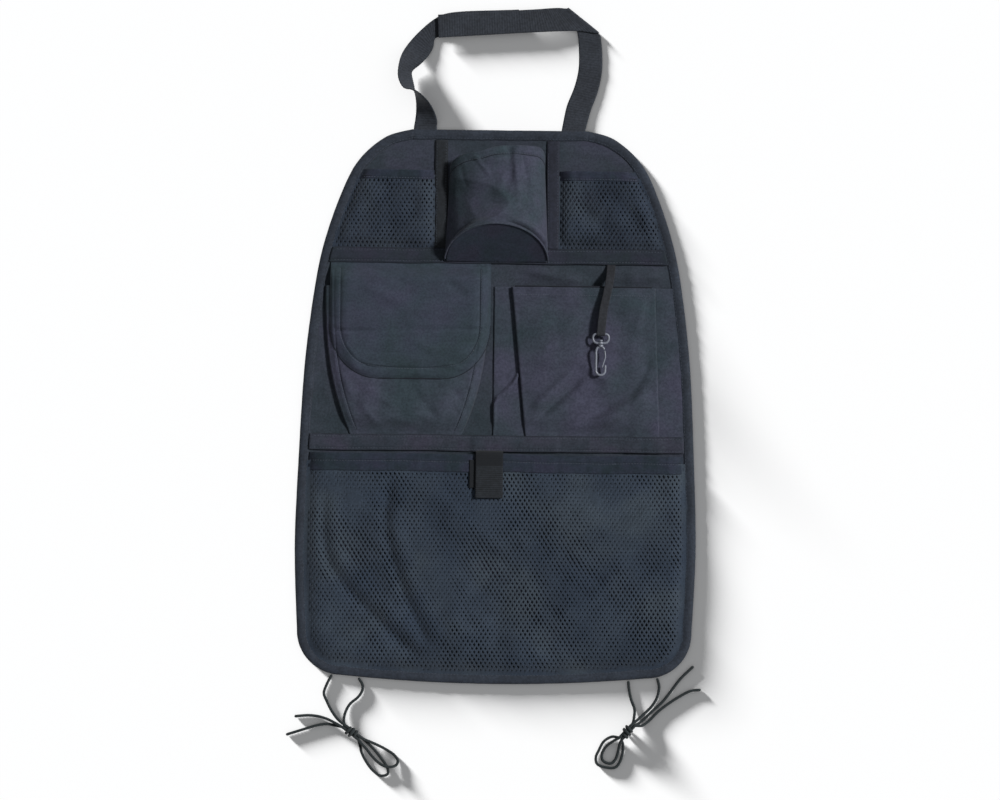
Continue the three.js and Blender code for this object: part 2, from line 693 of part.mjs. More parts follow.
// Points of one side's pleat as [distance in from the fold, flat height, open height]
const PLEAT_STEPS = [
  [-1, 0, 0.3], [PLEAT_DEPTH - 1, 0, 0.5], [PLEAT_DEPTH, pleatLayer / 2, 1.2], [PLEAT_DEPTH - 1, pleatLayer, 1.9],
  [1, pleatLayer, 3.2], [0, pleatLayer * 1.5, 4.1], [1, pleatLayer * 2, PLEAT_HEIGHT],
  [PLEAT_DEPTH + 6, pleatLayer * 2, PLEAT_HEIGHT + PLEAT_CROWN * 0.7], [PLEAT_DEPTH + 16, 0, PLEAT_HEIGHT + PLEAT_CROWN],
];

function pleatedPocket() {
  const hemFoot = PLEAT_TOP - PLEAT_HEM;
  const heights = [pocketFoot, bandTop + 1, bandTop + 6, bandTop + 12, bandTop + 20,
    ...between(bandTop + 20, hemFoot, [0.17, 0.39, 0.62, 0.85]), hemFoot, PLEAT_TOP];
  const grid = heights.map((y) => {
    const open = smooth((y - bandTop) / 22);
    const [left, right] = [pleatLeft(y), pleatRight(y)];
    const step = (fold, side) => ([inward, flat, high]) => vec(fold + side * inward, y, SEAM_Z + lerp(flat, high, open));
    const middle = vec((left + right) / 2, y, SEAM_Z + lerp(0, PLEAT_HEIGHT + PLEAT_CROWN, open));
    return [vec(PLEAT_SEWN_X, y, SEAM_Z), ...PLEAT_STEPS.map(step(left, 1)), middle,
      ...PLEAT_STEPS.map(step(right, -1)).reverse(), vec(bindingInside(y) - 1, y, SEAM_Z), vec(sewnSide(y), y, SEAM_Z)];
  });
  const hemRow = heights.length - 2;
  return sheet(grid, (j) => (j >= hemRow ? CLOTH + GAP : CLOTH));
}

addPiece('pleated_pocket', pleatedPocket(), CLOTH_FINISH);

// Lower seam band: it lies flat, and steps up over the pleats and over the tab's sewn end

const stackTop = SEAM_Z + 2 * pleatLayer + CLOTH / 2;
const raisedBandZ = stackTop + GAP + BAND / 2;
const bandSteps = [TAB_X - TAB_WIDTH / 2 - 6, TAB_X - TAB_WIDTH / 2 - 2, PLEAT_FOLD_FOOT_X + PLEAT_DEPTH + 20,
  PLEAT_FOLD_FOOT_X + PLEAT_DEPTH + 26, PLEAT_RIGHT_FOOT_X - PLEAT_DEPTH - 26, PLEAT_RIGHT_FOOT_X - PLEAT_DEPTH - 20,
  PLEAT_RIGHT_FOOT_X + 2, PLEAT_RIGHT_FOOT_X + 6];

function lowerBandHeight(x) {
  const raised = (x > bandSteps[0] + 1 && x < bandSteps[3] - 1) || (x > bandSteps[4] + 1 && x < bandSteps[7] - 1);
  return raised ? raisedBandZ : BAND_Z;
}

addPiece('lower_seam_band', crossBand(LOWER_SEAM, bandTop, lowerBandHeight, bandSteps), CLOTH_FINISH);

// Key ribbon: up from the seam, over the pocket's mouth, round the eye's bar and back

const wrapRadius = EYE_WIRE + GAP + RIBBON_CLOTH / 2;
const ribbonX = (y) => CLIP_X + RIBBON_LEAN * smooth((y - CLIP_BAR_Y - 2) / (UPPER_SEAM - CLIP_BAR_Y));
const ribbonFlatZ = SEAM_Z + RIBBON_CLOTH + GAP;

function keyRibbon() {
  // Each point is [height above the bottom edge, height above the floor]
  const under = [[UPPER_SEAM + 4, SEAM_Z], [UPPER_SEAM - 3, SEAM_Z + 0.3], [UPPER_SEAM - 9, SEAM_Z + 5],
    [UPPER_SEAM - 17, CLIP_Z - 4], [UPPER_SEAM - 30, CLIP_Z - 2.3], [UPPER_SEAM - 50, CLIP_Z - wrapRadius]];
  const over = [[UPPER_SEAM - 50, CLIP_Z - wrapRadius + 2.2], [UPPER_SEAM - 30, CLIP_Z - 1.1],
    [UPPER_SEAM - 15.6, CLIP_Z - 2.9], [UPPER_SEAM - 7.7, SEAM_Z + 5.4],
    [UPPER_SEAM - 2, ribbonFlatZ + 0.5], [UPPER_SEAM - GAP, ribbonFlatZ]];
  const wrap = [];
  for (let i = 0; i <= 6; i += 1) {
    const angle = -Math.PI / 2 - Math.PI * i / 6;
    wrap.push([CLIP_BAR_Y + wrapRadius * Math.cos(angle), CLIP_Z + wrapRadius * Math.sin(angle)]);
  }
  const grid = [...under, ...wrap, ...over].map(([y, z]) => (
    [ribbonX(y) - RIBBON_WIDTH / 2, ribbonX(y) + RIBBON_WIDTH / 2].map((x) => vec(x, y, z))));
  return sheet(grid, RIBBON_CLOTH);
}

addPiece('key_ribbon', keyRibbon(), WEBBING_FINISH);

// Swivel clip, built about the middle of the eye's bar with its length along -Y

const clip = new THREE.Group();
clip.position.set(CLIP_X, CLIP_BAR_Y, CLIP_Z);
group.add(clip);

const alongY = (radius, low, high, sides = 12) => (
  new THREE.CylinderGeometry(radius, radius, high - low, sides).translate(0, (low + high) / 2, 0));

function roundWire(radius, sides) {
  return Array.from({ length: sides }, (_, i) => {
    const angle = (i + 0.5) * 2 * Math.PI / sides;
    return [radius * Math.cos(angle), radius * Math.sin(angle)];
  });
}

const eyeFoot = -EYE_HEIGHT;
const hubTop = eyeFoot + HUB_LENGTH / 2;
const hubFoot = eyeFoot - HUB_LENGTH / 2;

function clipEye() {
  const reach = EYE_WIDTH / 2;
  const big = EYE_HEIGHT / 2;
  const path = new THREE.Path();
  path.moveTo(reach - EYE_CORNER, 0);
  path.absarc(-reach + EYE_CORNER, -EYE_CORNER, EYE_CORNER, Math.PI / 2, Math.PI, false);
  path.absarc(-reach + big, eyeFoot + big, big, Math.PI, 3 * Math.PI / 2, false);
  path.absarc(reach - big, eyeFoot + big, big, -Math.PI / 2, 0, false);
  path.absarc(reach - EYE_CORNER, -EYE_CORNER, EYE_CORNER, 0, Math.PI / 2, false);
  const loop = path.getPoints(5).filter((p, i, all) => i === 0 || p.distanceTo(all[i - 1]) > 0.05);
  loop.pop();
  const ring = ringSolid(loop, roundWire(EYE_WIRE, 8));
  const hub = alongY(HUB_RADIUS, hubFoot, hubTop);
  return cut(join(ring, hub), alongY(POST_RADIUS + GAP, hubFoot - 1, hubTop + 1));
}

const collarTop = hubFoot - GAP;
const collarFoot = collarTop - 2.6;
const hookFoot = collarFoot - HOOK_LENGTH;
const hookSide = HOOK_WIDTH / 2;
const gateRoot = vec(hookSide - 0.6, collarFoot - 4.6, 0);

function clipHook() {
  const post = alongY(POST_RADIUS, collarTop - 0.5, hubTop + GAP + 0.5);
  const head = alongY(POST_RADIUS + 0.8, hubTop + GAP, hubTop + GAP + 2);
  const collar = alongY(HUB_RADIUS, collarFoot, collarTop);
  const shoulder = collarFoot + 0.6;
  const bottom = [];
  for (let i = 0; i <= 8; i += 1) {
    const angle = Math.PI + Math.PI * i / 8;
    bottom.push(vec(hookSide * Math.cos(angle), hookFoot + hookSide + hookSide * Math.sin(angle), 0));
  }
  const body = tube([vec(0, shoulder, 0), vec(-hookSide + 1.2, shoulder - 1.6, 0), vec(-hookSide, shoulder - 5, 0),
    vec(-hookSide, -24, 0), ...bottom, vec(hookSide + 0.2, hookFoot + hookSide + 6, 0)], HOOK_WIRE, 26);
  const stubEnd = gateRoot.clone().add(vec(-0.4, GATE_WIRE + 0.6 + GAP, 0));
  const stub = tube([vec(0, shoulder, 0), vec(hookSide - 2.4, shoulder - 1, 0), stubEnd], HOOK_WIRE * 0.9, 5);
  return join(post, head, collar, body, stub);
}

function clipGate() {
  const root = new THREE.SphereGeometry(GATE_WIRE + 0.35, 10, 6).translate(...gateRoot.toArray());
  const leaf = tube([gateRoot.clone(), gateRoot.clone().add(vec(0.7, -6, 0)),
    gateRoot.clone().add(vec(-1, -12, 0)), gateRoot.clone().add(vec(-2.6, -17.5, 0))], GATE_WIRE, 8);
  return join(root, leaf);
}

addPiece('clip_eye', clipEye(), PLASTIC_FINISH, clip);
addPiece('clip_hook', clipHook(), PLASTIC_FINISH, clip);
addPiece('clip_gate', clipGate(), PLASTIC_FINISH, clip);

// Lower row: large net pocket

const netLines = NET_RINGS.map((d) => inset(outline, BINDING_WIDTH + d).slice(0, half.length));

function largeNetHeight(x, y) {
  const rise = puff((depthInside(x, y) - BINDING_WIDTH - NET_RINGS[1]) / LARGE_NET_RISE);
  const mouth = lerp(1, LARGE_NET_MOUTH, smooth((y - LARGE_NET_TOP + 90) / 50));
  return SEAM_Z + LARGE_NET_BULGE * rise * mouth;
}

// A share of the way along part of a line, by length
function alongLine(line, share) {
  const lengths = line.slice(1).map((p, i) => p.distanceTo(line[i]));
  let left = share * lengths.reduce((a, b) => a + b);
  for (let i = 0; i < lengths.length; i += 1) {
    if (left <= lengths[i] || i === lengths.length - 1) {
      return line[i].clone().lerp(line[i + 1], left / lengths[i]);
    }
    left -= lengths[i];
  }
  return line[0].clone();
}

// The foot of the net runs round to the middle of each bottom corner, where its sides start
function largeNetPlace(a, b, ring = 0) {
  const line = netLines[ring];
  const corner = line[CORNER_MIDDLE];
  const y = b === 2 ? LARGE_NET_TOP : lerp(corner.y, LARGE_NET_TOP - LARGE_HEM, b);
  const reach = b === 0 ? corner.x : widthAt(line, y);
  const across = 2 * a - 1;
  const foot = alongLine(line.slice(0, CORNER_MIDDLE + 1), Math.abs(across));
  const fade = Math.max(0, 1 - b);
  const x = reach * across + fade * (Math.sign(across) * foot.x - corner.x * across);
  return [x, y + fade * (foot.y - corner.y)];
}

addPiece('large_net_pocket', net(largeNetPlace, largeNetHeight, CLOTH, LARGE_NET_CELLS), NET_FINISH);
addPiece('large_net_hem', foldedHem(largeNetPlace, largeNetHeight, LARGE_NET_CELLS), BINDING_FINISH);

// Closure tab over the mouth, with its hook patch below it and the loop patch on the hem

const mouthZ = largeNetHeight(TAB_X, LARGE_NET_TOP);
const hemFront = HEM_OFFSET + HEM_CLOTH / 2;
const loopZ = mouthZ + hemFront + GAP + PATCH / 2;
const hookZ = loopZ + PATCH + GAP;
const tabZ = hookZ + PATCH / 2 + GAP + TAB_THICKNESS / 2;

function closurePatch(x, width, foot, top, z) {
  return block(x - width / 2, x + width / 2, foot, top, z - PATCH / 2, z + PATCH / 2);
}

function closureTab() {
  const start = LOWER_SEAM + 7;
  const path = [[start, SEAM_Z + 0.4], [LOWER_SEAM - 0.5, SEAM_Z + 0.5], [LOWER_SEAM + 1 - 1.9, SEAM_Z + 3.5],
    [LOWER_SEAM + 0.4, tabZ - 3], [LOWER_SEAM - 2, tabZ - 0.7], [LOWER_SEAM - 6, tabZ], [LOWER_SEAM - 20, tabZ],
    [TAB_END, tabZ]];
  const grid = path.map(([y, z]) => [vec(TAB_X - TAB_WIDTH / 2, y, z), vec(TAB_X + TAB_WIDTH / 2, y, z)]);
  return sheet(grid, TAB_THICKNESS);
}

const patchTop = LARGE_NET_TOP - 6;
addPiece('closure_loop_patch', closurePatch(TAB_X + TAB_PATCH_SHIFT, TAB_WIDTH, patchTop - 30, patchTop, loopZ),
  PATCH_FINISH);
addPiece('closure_hook_patch', closurePatch(TAB_X, TAB_WIDTH - 4, TAB_END + 3, patchTop - 4, hookZ), PATCH_FINISH);
addPiece('closure_tab', closureTab(), WEBBING_FINISH);

// Headrest strap: rungs across the webbing, each [x, y, z] at its left and right edge. Its feet meet the outer
// edge of the binding, behind whose front layer the real one is sewn.

const strapY = (y) => y + PANEL_HEIGHT;
const rung = ([ax, ay, az], [bx, by, bz]) => [vec(ax, strapY(ay), az), vec(bx, strapY(by), bz)];
const LOW = STRAP_FLOOR_Z;
const SEWN = STRAP_SEWN_Z;
const FOOT = GAP + 0.05;
const OVER = STRAP_FLOOR_Z + WEBBING + 2 * PATCH + 3 * GAP;

const LEFT_RUNGS = [
  [[-93.4, FOOT, SEWN], [-68.4, FOOT, SEWN]],
  [[-92.9, 4, SEWN], [-68.3, 4, 2.6]],
  [[-91.8, 10, 1.6], [-68.2, 9, 5.6]],
  [[-90.8, 20, 1.4], [-71.5, 19, 13]],
  [[-91, 31, 1.2], [-79.5, 30.6, 22]],
  [[-92.6, 39.5, 1.2], [-92, 40.2, 25.6]],
  [[-93.4, 46, 1.2], [-104, 43, 22.5]],
  [[-95.4, 54, 1.4], [-110, 53.5, 20.5]],
  [[-96, 62, 2], [-109.6, 69, 20]],
  [[-87, 70, 2.6], [-106.4, 81, 12]],
  [[-78.6, 79, 1.8], [-101, 91, 3.6]],
  [[-73.6, 88, 1.2], [-89, 105, 1.4]],
  [[-71, 98.5, LOW], [-72, 119.5, LOW]],
  [[-58, 100.6, LOW], [-59.5, 125.4, LOW]],
  [[20, 105.8, LOW], [18.5, 130.6, LOW]],
];

const RIGHT_RUNGS = [
  [[66.2, FOOT, SEWN], [91.5, FOOT, SEWN]],
  [[68.4, 12, 1.3], [94, 9, 1.3]],
  [[71.6, 27, LOW], [97.4, 22, LOW]],
  [[79.6, 48, LOW], [104.6, 42, LOW]],
  [[83.6, 66, LOW], [108.8, 62, LOW]],
  [[84, 84, LOW], [109.2, 82, LOW]],
  [[82, 106, LOW], [107.6, 100, LOW]],
  [[77, 119, LOW], [107, 103, LOW]],
  [[70.6, 132.8, LOW], [105.4, 105.4, LOW]],
  [[71.3, 133.7, LOW + 0.85], [106.1, 106.3, LOW + 0.85]],
  [[70.6, 132.8, LOW + 1.7], [105.4, 105.4, LOW + 1.7]],
  [[61, 132.6, LOW + 1.8], [82, 107.8, LOW + 1.8]],
  [[36, 130.6, OVER], [40, 106, OVER]],
  [[-16, 127.2, OVER], [-15, 102.4, OVER]],
  [[-68.6, 123.6, OVER], [-67.6, 98.8, OVER]],
];

const strapSheet = (rungs) => sheet(rungs.map(([a, b]) => rung(a, b)), WEBBING);
addPiece('strap_left', strapSheet(LEFT_RUNGS), WEBBING_FINISH);
addPiece('strap_right', strapSheet(RIGHT_RUNGS), WEBBING_FINISH);

// The two patches lie between the straps, in line with them
function strapPatch(layer) {
  const z = STRAP_FLOOR_Z + WEBBING / 2 + GAP + PATCH / 2 + layer * (PATCH + GAP);
  const patch = block(-STRAP_PATCH_LENGTH / 2, STRAP_PATCH_LENGTH / 2, -STRAP_PATCH_WIDTH / 2, STRAP_PATCH_WIDTH / 2,
    z - PATCH / 2, z + PATCH / 2);
  const slope = Math.atan2(3.6, 52);
  return patch.rotateZ(slope).translate(-22, strapY(115), 0);
}

addPiece('strap_loop_patch', strapPatch(0), PATCH_FINISH);
addPiece('strap_hook_patch', strapPatch(1), PATCH_FINISH);

// Ties: each side is one cord tied in a bow. Points are [x, y below the panel's bottom, height above the floor],
// and run towards the knot. Seats are places in the bundle at an end of the knot, as [across, up].

const FLOOR = CORD_RADIUS + 0.15;
const UP = FLOOR + 2 * CORD_RADIUS + 1.5 * GAP;
const KNOT_Z = KNOT_RADIUS + 0.15;
const CORD_STEPS = { leg: 5, tail: 7, loop: 8 };

const TIES = {
  left_tie: {
    knot: [-152.6, -53.2, -37],
    outer_leg: { seats: [[1, 1]], points: [[-174.6, 8.2, FLOOR], [-180.2, -3, FLOOR], [-182.9, -12.1, FLOOR],
      [-179.6, -20.7, FLOOR], [-174, -31.5, FLOOR], [-167, -40.2, 4.6]] },
    inner_leg: { seats: [[1, -1]], points: [[-145.8, 5.1, FLOOR], [-141.2, -3, FLOOR], [-141.9, -9.5, FLOOR],
      [-146.1, -15.9, FLOOR], [-154.8, -23.6, FLOOR], [-159.4, -32.2, 2.2], [-161, -40, 3.2]] },
    outer_tail: { seats: [[-1, -1]], points: [[-223.4, -57.4, FLOOR], [-213, -54, FLOOR], [-203, -50.8, FLOOR],
      [-188.4, -46.4, FLOOR], [-178.6, -45.2, FLOOR], [-169.4, -46.8, 3]] },
    inner_tail: { seats: [[-1, 1]], points: [[-214.5, -37.4, FLOOR], [-206.6, -36.6, FLOOR],
      [-198.8, -36.1, FLOOR], [-189.1, -37, FLOOR], [-180, -39.4, 3], [-170.6, -43.4, 6.4]] },
    inner_loop: { seats: [[1, 1], [-1, 1]], points: [[-138, -61.2, 6.6], [-130.4, -64.4, 3.9],
      [-116.3, -71.3, FLOOR], [-105.9, -78.2, FLOOR], [-102.1, -84.6, FLOOR], [-104.7, -89.2, 2.6],
      [-113.4, -90.4, UP], [-121.5, -87, UP], [-129.6, -79.5, UP], [-136.4, -71, 5.6], [-141.4, -65.6, 6.8]] },
    outer_loop: { seats: [[-1, -1], [1, -1]], points: [[-143.6, -66.4, 2.6], [-141.1, -76.3, FLOOR],
      [-134.5, -88.1, FLOOR], [-127.9, -95.7, FLOOR], [-120.3, -100.5, FLOOR], [-113, -98.3, FLOOR],
      [-113.6, -91.6, FLOOR], [-120.4, -81.4, FLOOR], [-127.6, -72.6, FLOOR], [-134.2, -66, FLOOR],
      [-139.2, -61.4, 2.8]] },
  },
  right_tie: {
    knot: [144.8, -49.2, -133],
    inner_leg: { seats: [[-1, -1]], points: [[145.4, 5.3, FLOOR], [146.4, -3.8, FLOOR], [148.7, -14.6, FLOOR],
      [152.6, -25.3, FLOOR], [152.2, -33.8, 2.8]] },
    outer_leg: { seats: [[-1, 1]], points: [[176.6, 8.6, FLOOR], [178.8, -1, FLOOR], [176.8, -12.1, FLOOR],
      [171.2, -21.8, FLOOR], [162.2, -30.8, 2.8], [155.6, -36.6, 6.2]] },
    inner_tail: { seats: [[1, -1]], points: [[215.8, 21.9, FLOOR], [201.4, 7.7, FLOOR], [190.8, -6.5, FLOOR],
      [182.3, -17.4, FLOOR], [172.2, -26.8, FLOOR], [163.6, -35.4, FLOOR], [157.6, -40.2, 3]] },
    outer_tail: { seats: [[1, 1]], points: [[224.2, -3.4, FLOOR], [212.4, -5.1, FLOOR], [201.6, -10.7, FLOOR],
      [189.8, -18.4, FLOOR], [178.1, -27.6, FLOOR], [167.8, -38, 2.4], [160.4, -42.6, 5.6]] },
    outer_loop: { seats: [[-1, -1], [1, -1]], points: [[128.6, -55.2, 2.4], [120.1, -60.3, FLOOR],
      [114.6, -70.1, FLOOR], [111.5, -77.7, FLOOR], [112.9, -84.7, FLOOR], [121.5, -88.3, FLOOR],
      [132.4, -88.4, FLOOR], [137.2, -82.8, FLOOR], [140.3, -71.9, FLOOR], [140.4, -62.8, 2.8]] },
    inner_loop: { seats: [[-1, 1], [1, 1]], points: [[129.4, -60, 5.2], [121.2, -67.4, FLOOR + 0.6],
      [117.8, -75.6, FLOOR], [119.4, -81.4, FLOOR], [127.4, -84.2, FLOOR], [132.2, -80.4, FLOOR],
      [135.4, -70.9, 2.4], [136.6, -64, 4.6]] },
  },
};

function tie(name, { knot: [knotX, knotY, knotAngle], ...runs }) {
  const angle = THREE.MathUtils.degToRad(knotAngle);
  const axis = vec(Math.cos(angle), Math.sin(angle), 0);
  const side = vec(-Math.sin(angle), Math.cos(angle), 0);
  const pitch = CORD_RADIUS + GAP / 2;
  // end is -1 where the legs and tails meet the knot and 1 where the loops leave it
  const entry = (end, [across, up]) => [2 * CORD_RADIUS, 0].map((back) => (
    vec(knotX, knotY, KNOT_Z + up * pitch).addScaledVector(side, across * pitch)
      .addScaledVector(axis, end * (KNOT_LENGTH / 2 + GAP + back))));
  for (const [run, { seats, points }] of Object.entries(runs)) {
    const kind = run.split('_')[1];
    const free = points.map((p) => vec(...p));
    const path = kind === 'loop' ? [...entry(1, seats[0]).reverse(), ...free, ...entry(1, seats[1])]
      : [...free, ...entry(-1, seats[0])];
    addPiece(`${name}_${run}`, tube(path, CORD_RADIUS, CORD_STEPS[kind]), CORD_FINISH);
  }
  const profile = [[0, -0.5], [0.82, -0.5], [1, -0.36], [0.9, -0.16], [1, 0], [0.9, 0.16], [1, 0.36], [0.82, 0.5],
    [0, 0.5]].map(([radius, along]) => new THREE.Vector2(radius * KNOT_RADIUS, along * KNOT_LENGTH));
  const knot = new THREE.LatheGeometry(profile, 14);
  knot.rotateZ(angle - Math.PI / 2).translate(knotX, knotY, KNOT_Z);
  addPiece(`${name}_knot`, knot, CORD_FINISH);
}

// The frame's origin is under the middle of everything but the ties
group.updateMatrixWorld(true);
const bounds = new THREE.Box3().setFromObject(group, true);
const middle = bounds.getCenter(new THREE.Vector3());

for (const [name, runs] of Object.entries(TIES)) {
  tie(name, runs);
}
group.position.set(-middle.x, -middle.y, -bounds.min.z);
group.updateMatrixWorld(true);

export default group;
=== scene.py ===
"""Looks for a car seat back organizer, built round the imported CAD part.

Lengths are in millimetres in the part's own layout: x to the right, y up from the bottom edge of the panel,
z up from the floor. place() turns them into metres in the frame's own axes.
"""

import math

import bpy
import numpy as np
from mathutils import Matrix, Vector


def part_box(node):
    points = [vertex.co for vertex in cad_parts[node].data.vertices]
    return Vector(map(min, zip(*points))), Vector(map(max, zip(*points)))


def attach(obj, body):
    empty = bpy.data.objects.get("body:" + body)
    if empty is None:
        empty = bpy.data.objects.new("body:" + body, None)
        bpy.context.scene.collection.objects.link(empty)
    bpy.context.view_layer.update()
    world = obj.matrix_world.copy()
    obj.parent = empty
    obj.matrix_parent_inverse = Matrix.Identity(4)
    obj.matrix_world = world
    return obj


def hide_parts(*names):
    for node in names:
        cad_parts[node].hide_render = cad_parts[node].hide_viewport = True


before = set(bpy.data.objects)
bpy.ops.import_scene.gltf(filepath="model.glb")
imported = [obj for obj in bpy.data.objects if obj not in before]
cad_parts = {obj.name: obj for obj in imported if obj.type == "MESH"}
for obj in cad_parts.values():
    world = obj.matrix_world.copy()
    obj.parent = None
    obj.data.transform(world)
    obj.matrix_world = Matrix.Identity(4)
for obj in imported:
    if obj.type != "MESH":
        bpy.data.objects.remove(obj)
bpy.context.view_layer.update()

MM = 0.001
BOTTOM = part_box("edge_binding")[0][1]

# Sizes of the part, as in its source
GAP = 0.3
CLOTH = 0.6
DOUBLE_CLOTH = 0.9
BAND = 0.7
PATCH = 0.7
SEAM_Z = 2.65
DOUBLE_SEAM_Z = 2.8
TAPE_Z = 3.55
BAND_Z = 3.9
PANEL_WIDTH = 433
PANEL_HEIGHT = 598
PANEL_CORNER = 48
PANEL_SAG = 8
SIDE_OUTLINE = [(0.984, 0.094), (1, 0.248), (0.984, 0.421), (0.961, 0.574), (0.919, 0.704), (0.873, 0.791),
                (0.794, 0.878), (0.707, 0.9415), (0.573, 0.985), (0.439, 1)]
BINDING_WIDTH = 11
LOWER_SEAM, LOWER_BAND_TOP = 251, 268
UPPER_SEAM, UPPER_BAND_TOP = 454, 470
POCKET_FOOT = 260
SMALL_NET_TOP, SMALL_HEM = 554, 10
LARGE_NET_TOP, LARGE_HEM = 248, 19
HOLDER_X, HOLDER_RADIUS, HOLDER_TILT = -2.5, 55.5, math.radians(44)
HOLDER_FOOT, HOLDER_Z = 456, 5.0
FLAP_POCKET_X, FLAP_POCKET_TOP = -98, 428
FLAP_X, FLAP_FOOT, FLAP_TOP, FLAP_WIDTH = -94.5, 329, 458, 173
PLEAT_TOP = 429
CLIP = (111, 379, 17.8)
TAB_X, TAB_WIDTH, TAB_END, TAB_Z = -7.3, 29.5, 201, 14.35
CORD_RADIUS = 1.5

# How the sewing is drawn
STITCH_SIDES, STITCH_LIFT = 6, 0.1
STITCH_RINGS = [(0, 0.45, 0), (0.2, 1, 0.8), (0.8, 1, 0.8), (1, 0.45, 0)]
OVERLOCK_PITCH = 2.2
LINE_POINTS = 240


def smooth(x):
    t = np.clip(x, 0, 1)
    return t * t * (3 - 2 * t)


def puff(x):
    return 1 - (1 - np.clip(x, 0, 1)) ** 2.5


def lerp(a, b, t):
    return a + (b - a) * t


def bell(x, width):
    return np.exp(-(x / width) ** 2)


def place(points):
    points = np.asarray(points, float).reshape(-1, 3)
    return np.column_stack([points[:, 0] * MM, BOTTOM + points[:, 1] * MM, points[:, 2] * MM])


def xyz(x, y, z):
    """Points from their coordinates, each an array or one number for all."""
    return np.stack(np.broadcast_arrays(x, y, z), axis=-1)


# Curves

def curve_through(points, step, counts=None):
    """Points about step apart on a centripetal Catmull-Rom curve through the given points."""
    p = np.asarray(points, float)
    p = np.vstack([2 * p[0] - p[1], p, 2 * p[-1] - p[-2]])
    out = []
    for i in range(1, len(p) - 2):
        p0, p1, p2, p3 = p[i - 1:i + 3]
        t0 = 0.0
        t1 = t0 + np.linalg.norm(p1 - p0) ** 0.5
        t2 = t1 + np.linalg.norm(p2 - p1) ** 0.5
        t3 = t2 + np.linalg.norm(p3 - p2) ** 0.5
        count = counts[i - 1] if counts else max(1, math.ceil(np.linalg.norm(p2 - p1) / step))
        t = np.linspace(t1, t2, count, endpoint=False)[:, None]
        a1 = (t1 - t) / (t1 - t0) * p0 + (t - t0) / (t1 - t0) * p1
        a2 = (t2 - t) / (t2 - t1) * p1 + (t - t1) / (t2 - t1) * p2
        a3 = (t3 - t) / (t3 - t2) * p2 + (t - t2) / (t3 - t2) * p3
        b1 = (t2 - t) / (t2 - t0) * a1 + (t - t0) / (t2 - t0) * a2
        b2 = (t3 - t) / (t3 - t1) * a2 + (t - t1) / (t3 - t1) * a3
        out.append((t2 - t) / (t2 - t1) * b1 + (t - t1) / (t2 - t1) * b2)
    out.append(p[-2][None])
    return np.vstack(out)

def distances(path):
    """How far along a path each of its points lies."""
    return np.concatenate([[0], np.cumsum(np.linalg.norm(np.diff(path, axis=0), axis=1))])


def length_of(path):
    return float(distances(path)[-1])


def points_along(path, marks):
    """The points at the given distances along a path."""
    along = distances(path)
    return np.column_stack([np.interp(marks, along, path[:, k]) for k in range(path.shape[1])])


def spread(path, step):
    """The same line with its points evenly apart."""
    path = np.asarray(path, float)
    length = length_of(path)
    return points_along(path, np.linspace(0, length, max(2, round(length / step) + 1)))


def distance_to(line, x, y):
    """Distance of each spot from a line of flat points."""
    line = np.asarray(line, float)
    nearest = np.full(np.shape(x), np.inf)
    for a, b in zip(line[:-1], line[1:]):
        way = b - a
        size = (way ** 2).sum()
        if size == 0:
            continue
        share = np.clip(((x - a[0]) * way[0] + (y - a[1]) * way[1]) / size, 0, 1)
        nearest = np.minimum(nearest, np.hypot(x - a[0] - share * way[0], y - a[1] - share * way[1]))
    return nearest


# Relief of the cloth

def ripple(x, y, seed, shortest, longest, waves=9):
    """A soft uneven surface between about -1 and 1, the same each run."""
    rng = np.random.default_rng(seed)
    total = 0
    for _ in range(waves):
        size = math.exp(rng.uniform(math.log(shortest), math.log(longest)))
        turn = rng.uniform(0, math.pi)
        phase = rng.uniform(0, 2 * math.pi)
        total = total + np.sin((x * math.cos(turn) + y * math.sin(turn)) * 2 * math.pi / size + phase)
    return total / math.sqrt(waves) / 1.4


def folds(x, y, lines):
    """Ridges and grooves along short lines: each is (x0, y0, x1, y1, width, height)."""
    total = np.zeros(np.broadcast(x, y).shape)
    for x0, y0, x1, y1, width, height in lines:
        along = np.array([x1 - x0, y1 - y0], float)
        size = np.linalg.norm(along)
        along /= size
        s = ((x - x0) * along[0] + (y - y0) * along[1]) / size
        away = (x - x0) * -along[1] + (y - y0) * along[0]
        ends = smooth(s / 0.3) * smooth((1 - s) / 0.3)
        total = total + height * ends * bell(away, width)
    return total

def draped(x, y, curves):
    """Soft ridges and grooves along curves: each is (points, width, height), fading at its ends."""
    total = np.zeros(np.broadcast(x, y).shape)
    for points, width, height in curves:
        line = curve_through(points, 9)
        ends = np.minimum(*(np.hypot(x - end[0], y - end[1]) for end in (line[0], line[-1])))
        total = total + height * bell(distance_to(line, x, y), width) * smooth(ends / (4 * width) + 0.25)
    return total


# Meshes

def merge(parts):
    points, faces, start = [], [], 0
    for part_points, part_faces in parts:
        points.append(np.asarray(part_points, float).reshape(-1, 3))
        faces.extend([[i + start for i in f] for f in part_faces])
        start += len(points[-1])
    return np.vstack(points), faces


def build(name, shape, material, replaces=(), body="organizer"):
    """One visible piece, from (points, faces) or from a list of such shapes."""
    points, faces = merge(shape) if isinstance(shape, list) else shape
    mesh = bpy.data.meshes.new(name)
    mesh.from_pydata(place(points).tolist(), [], [list(map(int, f)) for f in faces])
    mesh.validate()
    mesh.update()
    mesh.polygons.foreach_set("use_smooth", np.full(len(mesh.polygons), True))
    mesh.materials.append(material)
    piece = bpy.data.objects.new(name, mesh)
    bpy.context.scene.collection.objects.link(piece)
    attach(piece, body)
    if replaces:
        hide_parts(*replaces)
    return piece


def grid_normals(grid):
    normal = np.cross(np.gradient(grid, axis=1), np.gradient(grid, axis=0))
    size = np.linalg.norm(normal, axis=2, keepdims=True)
    return normal / np.maximum(size, 1e-9)


